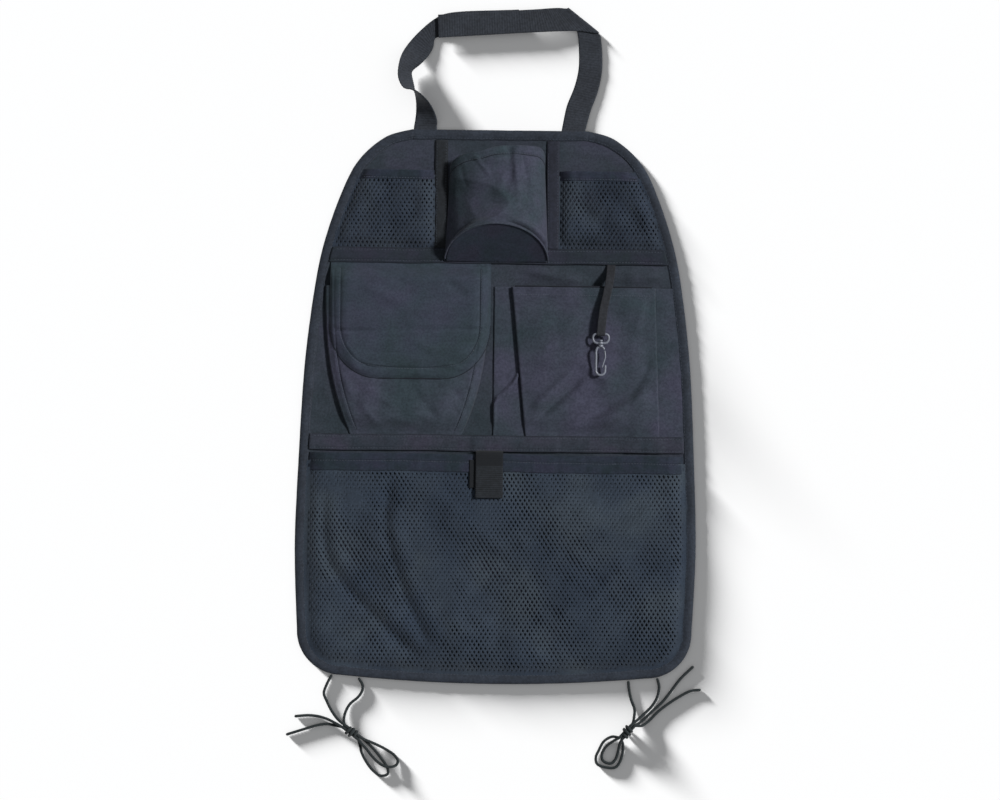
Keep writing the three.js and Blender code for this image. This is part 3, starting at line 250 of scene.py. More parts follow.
def slab(top, bottom):
    """A closed sheet between two grids of points."""
    rows, columns = top.shape[:2]
    layer = rows * columns
    index = np.arange(layer).reshape(rows, columns)
    a, b = index[:-1, :-1].ravel(), index[:-1, 1:].ravel()
    c, d = index[1:, 1:].ravel(), index[1:, :-1].ravel()
    faces = np.vstack([np.column_stack([a, b, c, d]), np.column_stack([a, d, c, b]) + layer]).tolist()
    edge = [*index[0], *index[1:, -1], *index[-1, -2::-1], *index[-2:0:-1, 0]]
    faces += [[i, i + layer, j + layer, j] for i, j in zip(edge, edge[1:] + edge[:1])]
    return np.vstack([top.reshape(-1, 3), bottom.reshape(-1, 3)]), faces


def cloth(grid, thickness):
    """A closed thin cloth about a grid of points, thicker where thickness says so."""
    shift = grid_normals(grid) * (np.broadcast_to(thickness, grid.shape[:2])[..., None] / 2)
    return slab(grid + shift, grid - shift)


def surface(rows, height):
    """Grid of points over rows of (y, [x...])."""
    return np.array([xyz(xs, y, height(xs, y)) for y, xs in rows])


def ring_turns(sides):
    return np.arange(sides) * 2 * math.pi / sides


def walls(count, sides, closed=False):
    """Faces from each ring of points to the next, and from the last to the first if closed."""
    index = np.arange(count * sides).reshape(count, sides)
    here, there = index, np.roll(index, -1, axis=0)
    if not closed:
        here, there = here[:-1], there[:-1]
    corners = here, there, np.roll(there, -1, axis=1), np.roll(here, -1, axis=1)
    return np.stack(corners, axis=-1).reshape(-1, 4).tolist()


def caps(count, sides):
    """Faces that fill the first and the last ring."""
    return [list(range(sides)), list(range((count - 1) * sides, count * sides))[::-1]]


def tube(path, radius, sides=12, closed=False, relief=None):
    """A round wire or cord along a line, with rounded ends. relief(along, turns) scales the radius."""
    path = np.asarray(path, float)
    count = len(path)
    if closed:
        tangent = np.roll(path, -1, axis=0) - np.roll(path, 1, axis=0)
    else:
        tangent = np.gradient(path, axis=0)
    tangent /= np.linalg.norm(tangent, axis=1, keepdims=True)
    along = distances(path)
    side = np.cross(tangent[0], (0, 0, 1))
    if np.linalg.norm(side) < 0.1:
        side = np.cross(tangent[0], (0, 1, 0))
    turns = ring_turns(sides)
    rings = []
    for i in range(count):
        side = side - tangent[i] * np.dot(side, tangent[i])
        side /= np.linalg.norm(side)
        up = np.cross(side, tangent[i])
        size = radius
        near = min(along[i], along[-1] - along[i])
        if not closed and near < radius:
            size = radius * math.sqrt(max(0.05, 1 - (1 - near / radius) ** 2))
        scale = np.ones(sides) if relief is None else relief(along[i], turns)
        around = np.cos(turns)[:, None] * side + np.sin(turns)[:, None] * up
        rings.append(path[i] + (size * scale)[:, None] * around)
    faces = walls(count, sides, closed)
    if not closed:
        faces += caps(count, sides)
    return np.vstack(rings), faces


def lathe(profile, origin, sides=24, closed=False):
    """Turns (radius, along y) points round the clip's own length."""
    turns = ring_turns(sides)
    points = [xyz(origin[0] + r * np.cos(turns), origin[1] + y, origin[2] + r * np.sin(turns))
              for r, y in profile]
    return np.vstack(points), [face[::-1] for face in walls(len(profile), sides, closed)]


def stitches(path, pitch, length, radius):
    """Short thread stitches along a line of points."""
    path = np.asarray(path, float)
    starts = np.arange(pitch / 2, length_of(path) - length, pitch)
    turns = ring_turns(STITCH_SIDES)[:, None]
    faces = walls(len(STITCH_RINGS), STITCH_SIDES) + caps(len(STITCH_RINGS), STITCH_SIDES)
    shapes = []
    for p, q in zip(points_along(path, starts), points_along(path, starts + length)):
        way = (q - p) / np.linalg.norm(q - p)
        side = np.cross(way, (0, 0, 1))
        side /= max(np.linalg.norm(side), 1e-6)
        up = np.cross(side, way)
        around = np.cos(turns) * side + np.sin(turns) * up * 0.8
        rings = [p + (q - p) * share + up * STITCH_LIFT * (0.3 + rise) + radius * size * around
                 for share, size, rise in STITCH_RINGS]
        shapes.append((np.vstack(rings), faces))
    return merge(shapes)


def overlock(path, radius):
    """Thread wrapped round a cut edge: a thin uneven line of it."""
    def twist(along, turns):
        return 1 + 0.22 * np.cos(turns + along * 2 * math.pi / OVERLOCK_PITCH)

    return tube(spread(path, 0.7), radius, 8, relief=twist)


# Materials

def srgb(*levels):
    return tuple(((c / 255 + 0.055) / 1.055) ** 2.4 if c > 10 else c / 255 / 12.92 for c in levels)


def grey(level):
    return (level, level, level)


def shade(colour, factor):
    return tuple(min(1, c * factor) for c in colour)


class Nodes:
    """A material's node tree, with short calls for the nodes used here."""

    def __init__(self, name):
        self.material = bpy.data.materials.new(name)
        self.material.use_nodes = True
        self.tree = self.material.node_tree
        self.tree.nodes.clear()
        self.output = self.add("ShaderNodeOutputMaterial")
        self.coords = self.add("ShaderNodeTexCoord").outputs["Object"]

    def add(self, kind, **settings):
        node = self.tree.nodes.new(kind)
        for key, value in settings.items():
            setattr(node, key, value)
        return node

    def link(self, source, socket):
        self.tree.links.new(source, socket)

    def feed(self, value, socket):
        """Sets a plain number on a socket, or links another node's output to it."""
        if isinstance(value, (int, float)):
            socket.default_value = value
        else:
            self.link(value, socket)

    def noise(self, scale, detail=3.0, stretch=(1, 1, 1)):
        mapping = self.add("ShaderNodeMapping")
        mapping.inputs["Scale"].default_value = stretch
        self.link(self.coords, mapping.inputs["Vector"])
        node = self.add("ShaderNodeTexNoise")
        node.inputs["Scale"].default_value = scale
        node.inputs["Detail"].default_value = detail
        node.inputs["Roughness"].default_value = 0.55
        self.link(mapping.outputs["Vector"], node.inputs["Vector"])
        return node.outputs["Fac"]

    def wave(self, direction, period, distortion=0.6):
        node = self.add("ShaderNodeTexWave", wave_type="BANDS", bands_direction=direction)
        node.inputs["Scale"].default_value = 0.05 * 2 * math.pi / period
        node.inputs["Distortion"].default_value = distortion
        node.inputs["Detail"].default_value = 1.0
        node.inputs["Detail Scale"].default_value = 1.2
        self.link(self.coords, node.inputs["Vector"])
        return node.outputs["Fac"]

    def math(self, operation, a, b):
        node = self.add("ShaderNodeMath", operation=operation)
        self.feed(a, node.inputs[0])
        self.feed(b, node.inputs[1])
        return node.outputs["Value"]

    def ramp(self, factor, *stops):
        node = self.add("ShaderNodeValToRGB")
        elements = node.color_ramp.elements
        while len(elements) < len(stops):
            elements.new(0.5)
        for element, (position, colour) in zip(elements, stops):
            element.position = position
            element.color = (*colour, 1)
        self.link(factor, node.inputs["Fac"])
        return node.outputs["Color"]

    def product(self, first, *others):
        """Colours multiplied together."""
        for other in others:
            node = self.add("ShaderNodeMix", data_type="RGBA", blend_type="MULTIPLY")
            node.inputs[0].default_value = 1.0
            self.link(first, node.inputs[6])
            self.link(other, node.inputs[7])
            first = node.outputs[2]
        return first

    def bump(self, height, distance, strength, under=None):
        node = self.add("ShaderNodeBump")
        node.inputs["Strength"].default_value = strength
        node.inputs["Distance"].default_value = distance
        self.link(height, node.inputs["Height"])
        if under is not None:
            self.link(under, node.inputs["Normal"])
        return node.outputs["Normal"]

    def principled(self, colour, normal, roughness, **settings):
        shader = self.add("ShaderNodeBsdfPrincipled")
        self.link(colour, shader.inputs["Base Color"])
        self.link(normal, shader.inputs["Normal"])
        self.feed(roughness, shader.inputs["Roughness"])
        for key, value in settings.items():
            shader.inputs[key.replace("_", " ")].default_value = value
        self.link(shader.outputs["BSDF"], self.output.inputs["Surface"])
        return self.material


def woven(name, low, middle, high, patch=14, grain=0.16):
    """Plain-woven cloth: threads over and under, slubs, specks, slow drifts of colour, and painted shade
    where the threads dip.
    """
    n = Nodes(name)
    period = 0.85 * MM
    checker = n.add("ShaderNodeTexChecker")
    checker.inputs["Scale"].default_value = 1 / period
    n.link(n.coords, checker.inputs["Vector"])
    over = n.math("MULTIPLY", n.wave("X", period), checker.outputs["Fac"])
    under = n.math("MULTIPLY", n.wave("Y", period), n.math("SUBTRACT", 1.0, checker.outputs["Fac"]))
    weave = n.math("ADD", over, under)
    drift = n.ramp(n.noise(patch, 4.0), (0.36, low), (0.5, middle), (0.64, high))
    specks = n.ramp(n.noise(430, 2.0), (0.36, grey(1 - grain)), (0.64, grey(1 + grain)))
    slubs = n.ramp(n.noise(150, 3.0, (0.35, 1, 1)), (0.36, grey(0.93)), (0.64, grey(1.07)))
    # Darker where the weave dips between threads: painted shade.
    thread = n.ramp(weave, (0.0, grey(0.84)), (0.6, grey(1.06)))
    normal = n.bump(weave, 0.12 * MM, 0.8)
    normal = n.bump(n.noise(90, 4.0), 0.9 * MM, 0.5, normal)
    rough = n.math("ADD", n.math("MULTIPLY", n.noise(60, 2.0), 0.16), 0.78)
    return n.principled(n.product(drift, specks, slubs, thread), normal, rough, Sheen_Weight=0.06,
                        Sheen_Roughness=0.5, Specular_IOR_Level=0.2)


def ribbed(name, colour, direction, period, relief, deep=0.78):
    """Webbing or tape: ribs one way, fine threads the other, with painted shade in the valleys between the
    ribs.
    """
    n = Nodes(name)
    ribs = n.wave(direction, period * MM, 0.3)
    threads = n.wave("Y" if direction == "X" else "X", 0.6 * MM, 0.5)
    height = n.math("ADD", ribs, n.math("MULTIPLY", threads, 0.3))
    drift = n.ramp(n.noise(30, 3.0), (0.35, shade(colour, 0.84)), (0.65, shade(colour, 1.16)))
    specks = n.ramp(n.noise(430, 2.0), (0.38, grey(0.8)), (0.62, grey(1.2)))
    # Darker in the valleys between the ribs: painted shade.
    dark = n.ramp(ribs, (0.0, grey(deep)), (0.7, grey(1.08)))
    normal = n.bump(height, relief * MM, 0.7)
    normal = n.bump(n.noise(260, 3.0), 0.25 * MM, 0.4, normal)
    return n.principled(n.product(drift, specks, dark), normal, 0.82, Sheen_Weight=0.05,
                        Sheen_Roughness=0.5, Specular_IOR_Level=0.3)


def fuzzy(name, colour, scale, relief, roughness=0.95, sheen=0.1, sweep=None):
    """Yarn or pile: fine uneven fibres. sweep is the scale of slow changes from warm to cool."""
    n = Nodes(name)
    fibre = n.noise(scale, 4.0)
    tint = n.ramp(fibre, (0.3, shade(colour, 0.72)), (0.7, shade(colour, 1.25)))
    drift = n.ramp(n.noise(22, 3.0), (0.35, grey(0.9)), (0.65, grey(1.1)))
    if sweep:
        drift = n.product(drift, n.ramp(n.noise(sweep, 2.0), (0.38, (0.72, 0.78, 0.84)),
                                        (0.52, (0.98, 1, 1)), (0.64, (1.24, 1.22, 1.12))))
    return n.principled(n.product(tint, drift), n.bump(fibre, relief * MM, 0.8), roughness,
                        Sheen_Weight=sheen, Sheen_Roughness=0.6, Specular_IOR_Level=0.2)


def plastic(name, colour):
    n = Nodes(name)
    scuff = n.noise(120, 5.0)
    tint = n.ramp(scuff, (0.35, shade(colour, 0.85)), (0.7, shade(colour, 1.2)))
    rough = n.math("ADD", n.math("MULTIPLY", scuff, 0.2), 0.26)
    return n.principled(tint, n.bump(n.noise(900, 3.0), 0.03 * MM, 0.5), rough, Specular_IOR_Level=0.6)


PANEL_MATERIAL = woven("panel_cloth", srgb(41, 50, 57), srgb(49, 55, 64), srgb(56, 58, 72))
POCKET_MATERIAL = woven("pocket_cloth", srgb(46, 57, 64), srgb(55, 61, 72), srgb(62, 63, 79))
FLAP_MATERIAL = woven("flap_cloth", srgb(44, 56, 62), srgb(50, 58, 69), srgb(55, 58, 73), grain=0.14)
CUP_MATERIAL = woven("holder_cloth", srgb(47, 58, 65), srgb(54, 60, 71), srgb(60, 62, 77), patch=26)
BASE_MATERIAL = woven("holder_base_cloth", srgb(36, 47, 56), srgb(40, 47, 60), srgb(44, 46, 61), patch=30)
UPPER_BAND_MATERIAL = woven("upper_band_cloth", srgb(34, 42, 48), srgb(38, 43, 53), srgb(44, 45, 58), 30)
LOWER_BAND_MATERIAL = woven("lower_band_cloth", srgb(42, 49, 58), srgb(48, 52, 62), srgb(53, 53, 66), 30)
NET_MATERIAL = fuzzy("net_yarn", srgb(48, 57, 69), 700, 0.25, sweep=14)
SMALL_NET_MATERIAL = fuzzy("small_net_yarn", srgb(43, 51, 63), 700, 0.25, sweep=20)
NET_HEM_MATERIAL = woven("net_hem_tape", srgb(32, 42, 50), srgb(37, 44, 56), srgb(42, 45, 60), patch=40)
BINDING_MATERIAL = ribbed("binding_tape", srgb(40, 46, 56), "Y", 1.4, 0.12)
TAPE_MATERIAL = ribbed("divider_tape", srgb(34, 37, 49), "X", 1.3, 0.15)
# The left divider tape is the same tape as the right one in a darker colour: painted shade from the bottle
# holder beside it.
LEFT_TAPE_PAINTED_SHADE_MATERIAL = ribbed("left_divider_tape", srgb(27, 31, 36), "X", 1.3, 0.15)
STRAP_MATERIAL = ribbed("strap_webbing", srgb(42, 46, 53), "Y", 0.9, 0.12, deep=0.9)
TAB_MATERIAL = ribbed("tab_webbing", srgb(28, 32, 37), "Y", 2.2, 0.3)
# Nearly black copy of the tab's colour for its upper end: painted shade where the tab dips under the band's
# edge.
TAB_PAINTED_SHADE_MATERIAL = fuzzy("tab_painted_shade", srgb(22, 25, 29), 1400, 0.3)
RIBBON_MATERIAL = ribbed("ribbon_webbing", srgb(37, 39, 44), "Y", 1.2, 0.15)
PATCH_MATERIAL = fuzzy("patch_pile", srgb(24, 27, 31), 1400, 0.3)
CORD_MATERIAL = fuzzy("cord_yarn", srgb(34, 40, 42), 1100, 0.15, 0.8)
THREAD_MATERIAL = fuzzy("sewing_thread", srgb(66, 73, 84), 2000, 0.05, 0.7, 0.05)
# Dark thread for overlocked edges and seam rows. Its lines are also laid along seams, gaps and edges as
# painted shade.
THREAD_AND_SHADE_MATERIAL = fuzzy("dark_thread_and_shade", srgb(27, 31, 39), 2000, 0.05, 0.8, 0.03)
PLASTIC_MATERIAL = plastic("clip_plastic", srgb(112, 116, 127))


# Camera: straight above, turned a little as the photograph is

CAMERA_AT = (0.00332, -0.05937, 4.0)
CAMERA_TURN = 0.0122
SENSOR_WIDTH, LENS = 36, 133.33


def make_camera():
    data = bpy.data.cameras.new("camera")
    data.sensor_width = SENSOR_WIDTH
    data.lens = LENS
    camera = bpy.data.objects.new("camera", data)
    camera.location = CAMERA_AT
    camera.rotation_euler = (0, 0, CAMERA_TURN)
    bpy.context.scene.collection.objects.link(camera)
    bpy.context.scene.camera = camera


make_camera()


# Ties: each half of a bow is one cord. It leaves the binding as a leg, goes through the knot, round its
# loop and back through the knot to its tail. FLOOR and UP are the heights of a cord on the table and on
# another cord. Each run starts with the strand's seats in the knot, as (side, level).

FLOOR = CORD_RADIUS + 0.15
UP = FLOOR + 2 * CORD_RADIUS + 0.45
KNOT_LENGTH, KNOT_Z = 14, 6.15
SEAT_PITCH = 1.65
KNOT_TURNS = 2.3
BRAID_PITCH = 3.4

BOWS = {
    "left": {
        "knot": (-152.6, -53.2, -37),
        "outer": {
            "leg": ((1, 1), [
                (-174.6, 8.2, FLOOR), (-180.2, -3, FLOOR), (-182.9, -12.1, FLOOR), (-179.6, -20.7, FLOOR),
                (-174, -31.5, FLOOR), (-167, -40.2, 4.6)]),
            "loop": ((1, -1), (-1, -1), [
                (-139.2, -61.4, 2.8), (-134.2, -66, FLOOR), (-127.6, -72.6, FLOOR), (-120.4, -81.4, FLOOR),
                (-113.6, -91.6, FLOOR), (-113, -98.3, FLOOR), (-120.3, -100.5, FLOOR),
                (-127.9, -95.7, FLOOR), (-134.5, -88.1, FLOOR), (-141.1, -76.3, FLOOR),
                (-143.6, -66.4, 2.6)]),
            "tail": ((-1, -1), [
                (-169.4, -46.8, 3), (-178.6, -45.2, FLOOR), (-188.4, -46.4, FLOOR), (-203, -50.8, FLOOR),
                (-213, -54, FLOOR), (-223.4, -57.4, FLOOR)]),
        },
        "inner": {
            "leg": ((1, -1), [
                (-145.8, 5.1, FLOOR), (-141.2, -3, FLOOR), (-141.9, -9.5, FLOOR), (-146.1, -15.9, FLOOR),
                (-154.8, -23.6, FLOOR), (-159.4, -32.2, 2.2), (-161, -40, 3.2)]),
            "loop": ((1, 1), (-1, 1), [
                (-138, -61.2, 6.6), (-130.4, -64.4, 3.9), (-116.3, -71.3, FLOOR), (-105.9, -78.2, FLOOR),
                (-102.1, -84.6, FLOOR), (-104.7, -89.2, 2.6), (-113.4, -90.4, UP), (-121.5, -87, UP),
                (-129.6, -79.5, UP), (-136.4, -71, 5.6), (-141.4, -65.6, 6.8)]),
            "tail": ((-1, 1), [
                (-170.6, -43.4, 6.4), (-180, -39.4, 3), (-189.1, -37, FLOOR), (-198.8, -36.1, FLOOR),
                (-206.6, -36.6, FLOOR), (-214.5, -37.4, FLOOR)]),
        },
    },
    "right": {
        "knot": (144.8, -49.2, -133),
        "inner": {
            "leg": ((-1, -1), [
                (145.4, 5.3, FLOOR), (146.4, -3.8, FLOOR), (148.7, -14.6, FLOOR), (152.6, -25.3, FLOOR),
                (152.2, -33.8, 2.8)]),
            "loop": ((-1, 1), (1, 1), [
                (129.4, -60, 5.2), (121.2, -67.4, FLOOR + 0.6), (117.8, -75.6, FLOOR),
                (119.4, -81.4, FLOOR), (127.4, -84.2, FLOOR), (132.2, -80.4, FLOOR), (135.4, -70.9, 2.4),
                (136.6, -64, 4.6)]),
            "tail": ((1, -1), [
                (157.6, -40.2, 3), (163.6, -35.4, FLOOR), (172.2, -26.8, FLOOR), (182.3, -17.4, FLOOR),
                (190.8, -6.5, FLOOR), (201.4, 7.7, FLOOR), (215.8, 21.9, FLOOR)]),
        },
        "outer": {
            "leg": ((-1, 1), [
                (176.6, 8.6, FLOOR), (178.8, -1, FLOOR), (176.8, -12.1, FLOOR), (171.2, -21.8, FLOOR),
                (162.2, -30.8, 2.8), (155.6, -36.6, 6.2)]),
            "loop": ((-1, -1), (1, -1), [
                (128.6, -55.2, 2.4), (120.1, -60.3, FLOOR), (114.6, -70.1, FLOOR), (111.5, -77.7, FLOOR),
                (112.9, -84.7, FLOOR), (121.5, -88.3, FLOOR), (132.4, -88.4, FLOOR), (137.2, -82.8, FLOOR),
                (140.3, -71.9, FLOOR), (140.4, -62.8, 2.8)]),
            "tail": ((1, 1), [
                (160.4, -42.6, 5.6), (167.8, -38, 2.4), (178.1, -27.6, FLOOR), (189.8, -18.4, FLOOR),
                (201.6, -10.7, FLOOR), (212.4, -5.1, FLOOR), (224.2, -3.4, FLOOR)]),
        },
    },
}


def braid(along, turns):
    """Two sets of strands winding opposite ways."""
    winding = along * 2 * math.pi / BRAID_PITCH
    return 1 + 0.045 * np.maximum(np.cos(4 * turns + winding), np.cos(4 * turns - winding))


def make_bow(name, bow):
    knot_x, knot_y, angle = bow["knot"]
    angle = math.radians(angle)
    axis = np.array([math.cos(angle), math.sin(angle), 0])
    side = np.array([-math.sin(angle), math.cos(angle), 0])
    up = np.array([0, 0, 1])
    middle = np.array([knot_x, knot_y, KNOT_Z])

    def seat(end, where, back):
        """Where a strand meets the knot's end, or lies back from it."""
        across, level = where
        spot = middle + side * across * SEAT_PITCH + axis * end * (KNOT_LENGTH / 2 + GAP + back)
        return spot + up * level * SEAT_PITCH

    # The knot is two slanting turns of cord and a tuck, drawn tight round the four strands
    turns = np.linspace(0, 2 * math.pi * KNOT_TURNS, 120)
    share = turns / turns[-1]
    along = lerp(-KNOT_LENGTH / 2 + 2.2, KNOT_LENGTH / 2 - 2.2, share) + np.cos(turns)
    reach = 4.35 - 0.9 * bell(share, 0.1) - 0.9 * bell(share - 1, 0.1)
    winding = middle + axis * along[:, None] + side * (reach * np.cos(turns))[:, None] \
        + up * (reach * np.sin(turns))[:, None]
    core = middle + axis * np.linspace(-KNOT_LENGTH / 2 + 0.6, KNOT_LENGTH / 2 - 0.6, 24)[:, None]
    shape = [tube(winding, CORD_RADIUS, 12, relief=braid), tube(core, 3.3, 14, relief=braid)]
    knot = build(f"{name}_bow_knot", shape, CORD_MATERIAL, [f"{name}_tie_knot"])

    for half in ("inner", "outer"):
        leg_seat, leg = bow[half]["leg"]
        loop_start, loop_end, loop = bow[half]["loop"]
        tail_seat, tail = bow[half]["tail"]
        route = [*leg, seat(-1, leg_seat, 3), seat(-1, leg_seat, 0), seat(1, loop_start, 0),
                 seat(1, loop_start, 3), *loop, seat(1, loop_end, 3), seat(1, loop_end, 0),
                 seat(-1, tail_seat, 0), seat(-1, tail_seat, 3), *tail]
        path = spread(curve_through(route, 0.5), 0.8)
        cord = build(f"{name}_tie_cord_{half}", tube(path, CORD_RADIUS, 14, relief=braid), CORD_MATERIAL,
                     [f"{name}_tie_{half}_{run}" for run in ("leg", "loop", "tail")])


for bow_name, bow_paths in BOWS.items():
    make_bow(bow_name, bow_paths)


# Outline of the panel

def spline(points, count):
    """A uniform Catmull-Rom curve through flat points."""
    p = np.asarray(points, float)
    last = len(p) - 1
    out = []
    for k in range(count + 1):
        where = last * k / count
        i = min(int(where), last)
        t = where - i
        p0, p1 = p[max(i - 1, 0)], p[i]
        p2, p3 = p[min(i + 1, last)], p[min(i + 2, last)]
        v0, v1 = (p2 - p0) / 2, (p3 - p1) / 2
        cubic, square = 2 * p1 - 2 * p2 + v0 + v1, -3 * p1 + 3 * p2 - 2 * v0 - v1
        out.append(cubic * t ** 3 + square * t ** 2 + v0 * t + p1)
    return np.array(out)


CORNER_X = SIDE_OUTLINE[0][0] * PANEL_WIDTH / 2 - PANEL_CORNER
CORNER_Y = PANEL_SAG + PANEL_CORNER


def right_half():
    xs = np.linspace(0, CORNER_X, 60)
    bottom = np.column_stack([xs, PANEL_SAG * (xs / CORNER_X) ** 2])
    angles = np.linspace(-math.pi / 2, 0, 28)[1:-1]
    corner = np.column_stack([CORNER_X + PANEL_CORNER * np.cos(angles),
                              CORNER_Y + PANEL_CORNER * np.sin(angles)])
    side = np.array([(x * PANEL_WIDTH / 2, y * PANEL_HEIGHT) for x, y in SIDE_OUTLINE])
    side[0, 1] = CORNER_Y
    return np.vstack([bottom, corner, spline(side, 216)])


half = right_half()
top_edge = np.column_stack([np.linspace(half[-1, 0], -half[-1, 0], 78)[1:-1], np.full(76, half[-1, 1])])
outline = np.vstack([half, top_edge, (half[1:] * (-1, 1))[::-1]])


def inward(line):
    """At each point of a closed line, the step that moves both its sides in by one."""
    normal = 0
    for way in (line - np.roll(line, 1, axis=0), np.roll(line, -1, axis=0) - line):
        across = np.column_stack([-way[:, 1], way[:, 0]])
        normal = normal + across / np.linalg.norm(across, axis=1, keepdims=True)
    return normal * 2 / (normal ** 2).sum(axis=1, keepdims=True)


def half_width(y):
    return np.interp(y, half[:, 1], half[:, 0])


def binding_inside(y):
    return half_width(y) - BINDING_WIDTH


def depth_inside(x, y):
    """How far a spot lies in from the sides and the bottom edge."""
    return distance_to(half[::3], np.abs(x), y)


def edge_sway(x, seed):
    """How far a sewn edge wanders up and down."""
    return 0.5 * ripple(x, 0, seed, 40, 160)


# Backing cloth

PANEL_CREASES = [(24, 448, 104, 434, 7, 4.6), (130, 436, 186, 446, 6, 4.0), (-200, 420, -186, 330, 5, 0.6),
                 (-204, 330, -170, 276, 5, -0.4), (184, 430, 200, 350, 4, 0.6),
                 (196, 340, 180, 280, 5, 0.6), (4, 452, 70, 440, 3.5, 0.9), (30, 440, 100, 436, 3, -0.7),
                 (60, 450, 120, 447, 3, 0.8), (130, 447, 180, 440, 4, 0.8)]
PANEL_Z = 1.85


def panel_top(x, y):
    free = smooth((y - SMALL_NET_TOP) / 20) * smooth((PANEL_HEIGHT - 12 - y) / 12)
    waves = 0.18 * ripple(x, y, 3, 30, 120)
    hills = free * (0.5 + 0.7 * ripple(x, y, 5, 40, 150))
    bare = smooth((y - LOWER_BAND_TOP) / 10) * smooth((UPPER_SEAM - y) / 10)
    return PANEL_Z + waves + hills + bare * folds(x, y, PANEL_CREASES)


def make_panel():
    top, bottom = [], []
    shares = np.linspace(-1, 1, 121)
    for y in np.concatenate([np.linspace(1.2, 12, 8), np.linspace(15, PANEL_HEIGHT - 2, 170)]):
        reach = half_width(y) - 1.2 - 0.4 * smooth((CORNER_Y - y) / 30)
        x = shares * max(reach, 1)
        edge = np.minimum(depth_inside(x, y), PANEL_HEIGHT - y)
        under = smooth((BINDING_WIDTH + 3 - edge) / 3)
        rim = lerp(2.3, 1.75, smooth((8 - edge) / 5))
        high = lerp(panel_top(x, y), rim, smooth((BINDING_WIDTH + 6 - edge) / 6))
        low = lerp(0.03 + 0.08 * (1 + ripple(x, y, 8, 25, 80)), 0.75, under)
        top.append(xyz(x, y, high))
        bottom.append(xyz(x, y, low))
    panel = build("panel_cloth", slab(np.array(top), np.array(bottom)), PANEL_MATERIAL,
                  ["back_panel"])


make_panel()


# Edge binding: a tape folded round the panel's edge. Its section is in (distance in from the edge,
# height), first over the outside from the front to the back, then back again on the inside.

BINDING_OUTSIDE = [(11.2, 2.5), (10.9, 2.8), (9.9, 3.2), (8.6, 3.6), (6.5, 4.2), (4, 4.22), (2, 3.82),
                   (0.7, 3.05), (0.05, 2.0), (0.35, 0.95), (1.4, 0.28), (3, 0.04), (7, 0.02), (11, 0.05)]
BINDING_INSIDE = [(11, 0.6), (7, 0.6), (3.4, 0.66), (1.5, 1.1), (0.8, 2.0), (1.5, 2.8), (3, 3.2), (7, 3.2),
                  (9, 2.85), (11, 2.45)]
BINDING_SEAM, BINDING_SEAM_Z = 9.4, 3.42


def make_binding():
    normal = inward(outline)
    along = distances(outline)
    section = BINDING_OUTSIDE + BINDING_INSIDE
    rows = []
    for k, (depth, height) in enumerate(section):
        sway = 0.5 * ripple(along, 0, 11, 8, 40) if depth > 5 else 0.12 * ripple(along, 0, 12, 20, 90)
        if depth <= 2:
            sway = np.abs(sway)
        puffed = 2 <= k <= 6
        lift = 0.28 * ripple(along, 0, 13, 5, 22) if puffed else 0
        flat = outline + normal * (depth + sway)[:, None]
        rows.append(xyz(flat[:, 0], flat[:, 1], height + lift))
    faces = walls(len(section), len(outline), closed=True)
    build("edge_tape", (np.vstack(rows), faces), BINDING_MATERIAL, ["edge_binding"])
    seam = outline + normal * BINDING_SEAM
    line = xyz(seam[:, 0], seam[:, 1], BINDING_SEAM_Z)
    build("edge_tape_stitches", stitches(np.vstack([line, line[:1]]), 3.4, 2.3, 0.2), THREAD_MATERIAL)


make_binding()


# Bands sewn right across

def make_band(name, foot, top, height, seed, material):
    rows = []
    for y in np.linspace(foot, top, 15):
        end = binding_inside(y) + 0.5
        x = np.linspace(-end, end, 200)
        near = np.minimum(y - foot, top - y)
        pucker = 0.3 * ripple(x, 0.5 * y, seed, 7, 34) * smooth(near / 1.5)
        crown = 0.5 * smooth(near / 5) - 0.4 * bell(near - 2.2, 0.9)
        rows.append(xyz(x, y + edge_sway(x, seed + 1), height(x) + crown + pucker))
    build(name, cloth(np.array(rows), BAND), material, [name])

    def line(y, short, rise):
        end = binding_inside(y) - short
        x = np.linspace(-end, end, LINE_POINTS)
        return xyz(x, y + edge_sway(x, seed + 1), height(x) + rise)

    seams = [stitches(line(y, 3, 0.5 * BAND), 3.2, 2.1, 0.26) for y in (foot + 2.2, top - 2.2)]
    # The dark overlock at both edges of the band also paints the shade in the gaps beside it.
    edges = [overlock(line(y, 1.5, -0.1), 0.5) for y in (foot + 0.1, top - 0.1)]
    build(name + "_stitches", seams, THREAD_MATERIAL)
    build(name + "_edges", edges, THREAD_AND_SHADE_MATERIAL)


def lower_band_height(x):
    """The band rides over what is sewn in under it."""
    rise = smooth((x + 27.5) / 4) * smooth((70 - x) / 6) + smooth((x - 136) / 6) * smooth((181 - x) / 4)
    return BAND_Z + 1.17 * rise


make_band("upper_seam_band", UPPER_SEAM, UPPER_BAND_TOP, lambda x: BAND_Z, 21, UPPER_BAND_MATERIAL)
make_band("lower_seam_band", LOWER_SEAM, LOWER_BAND_TOP, lower_band_height, 25, LOWER_BAND_MATERIAL)


# Tapes beside the bottle holder

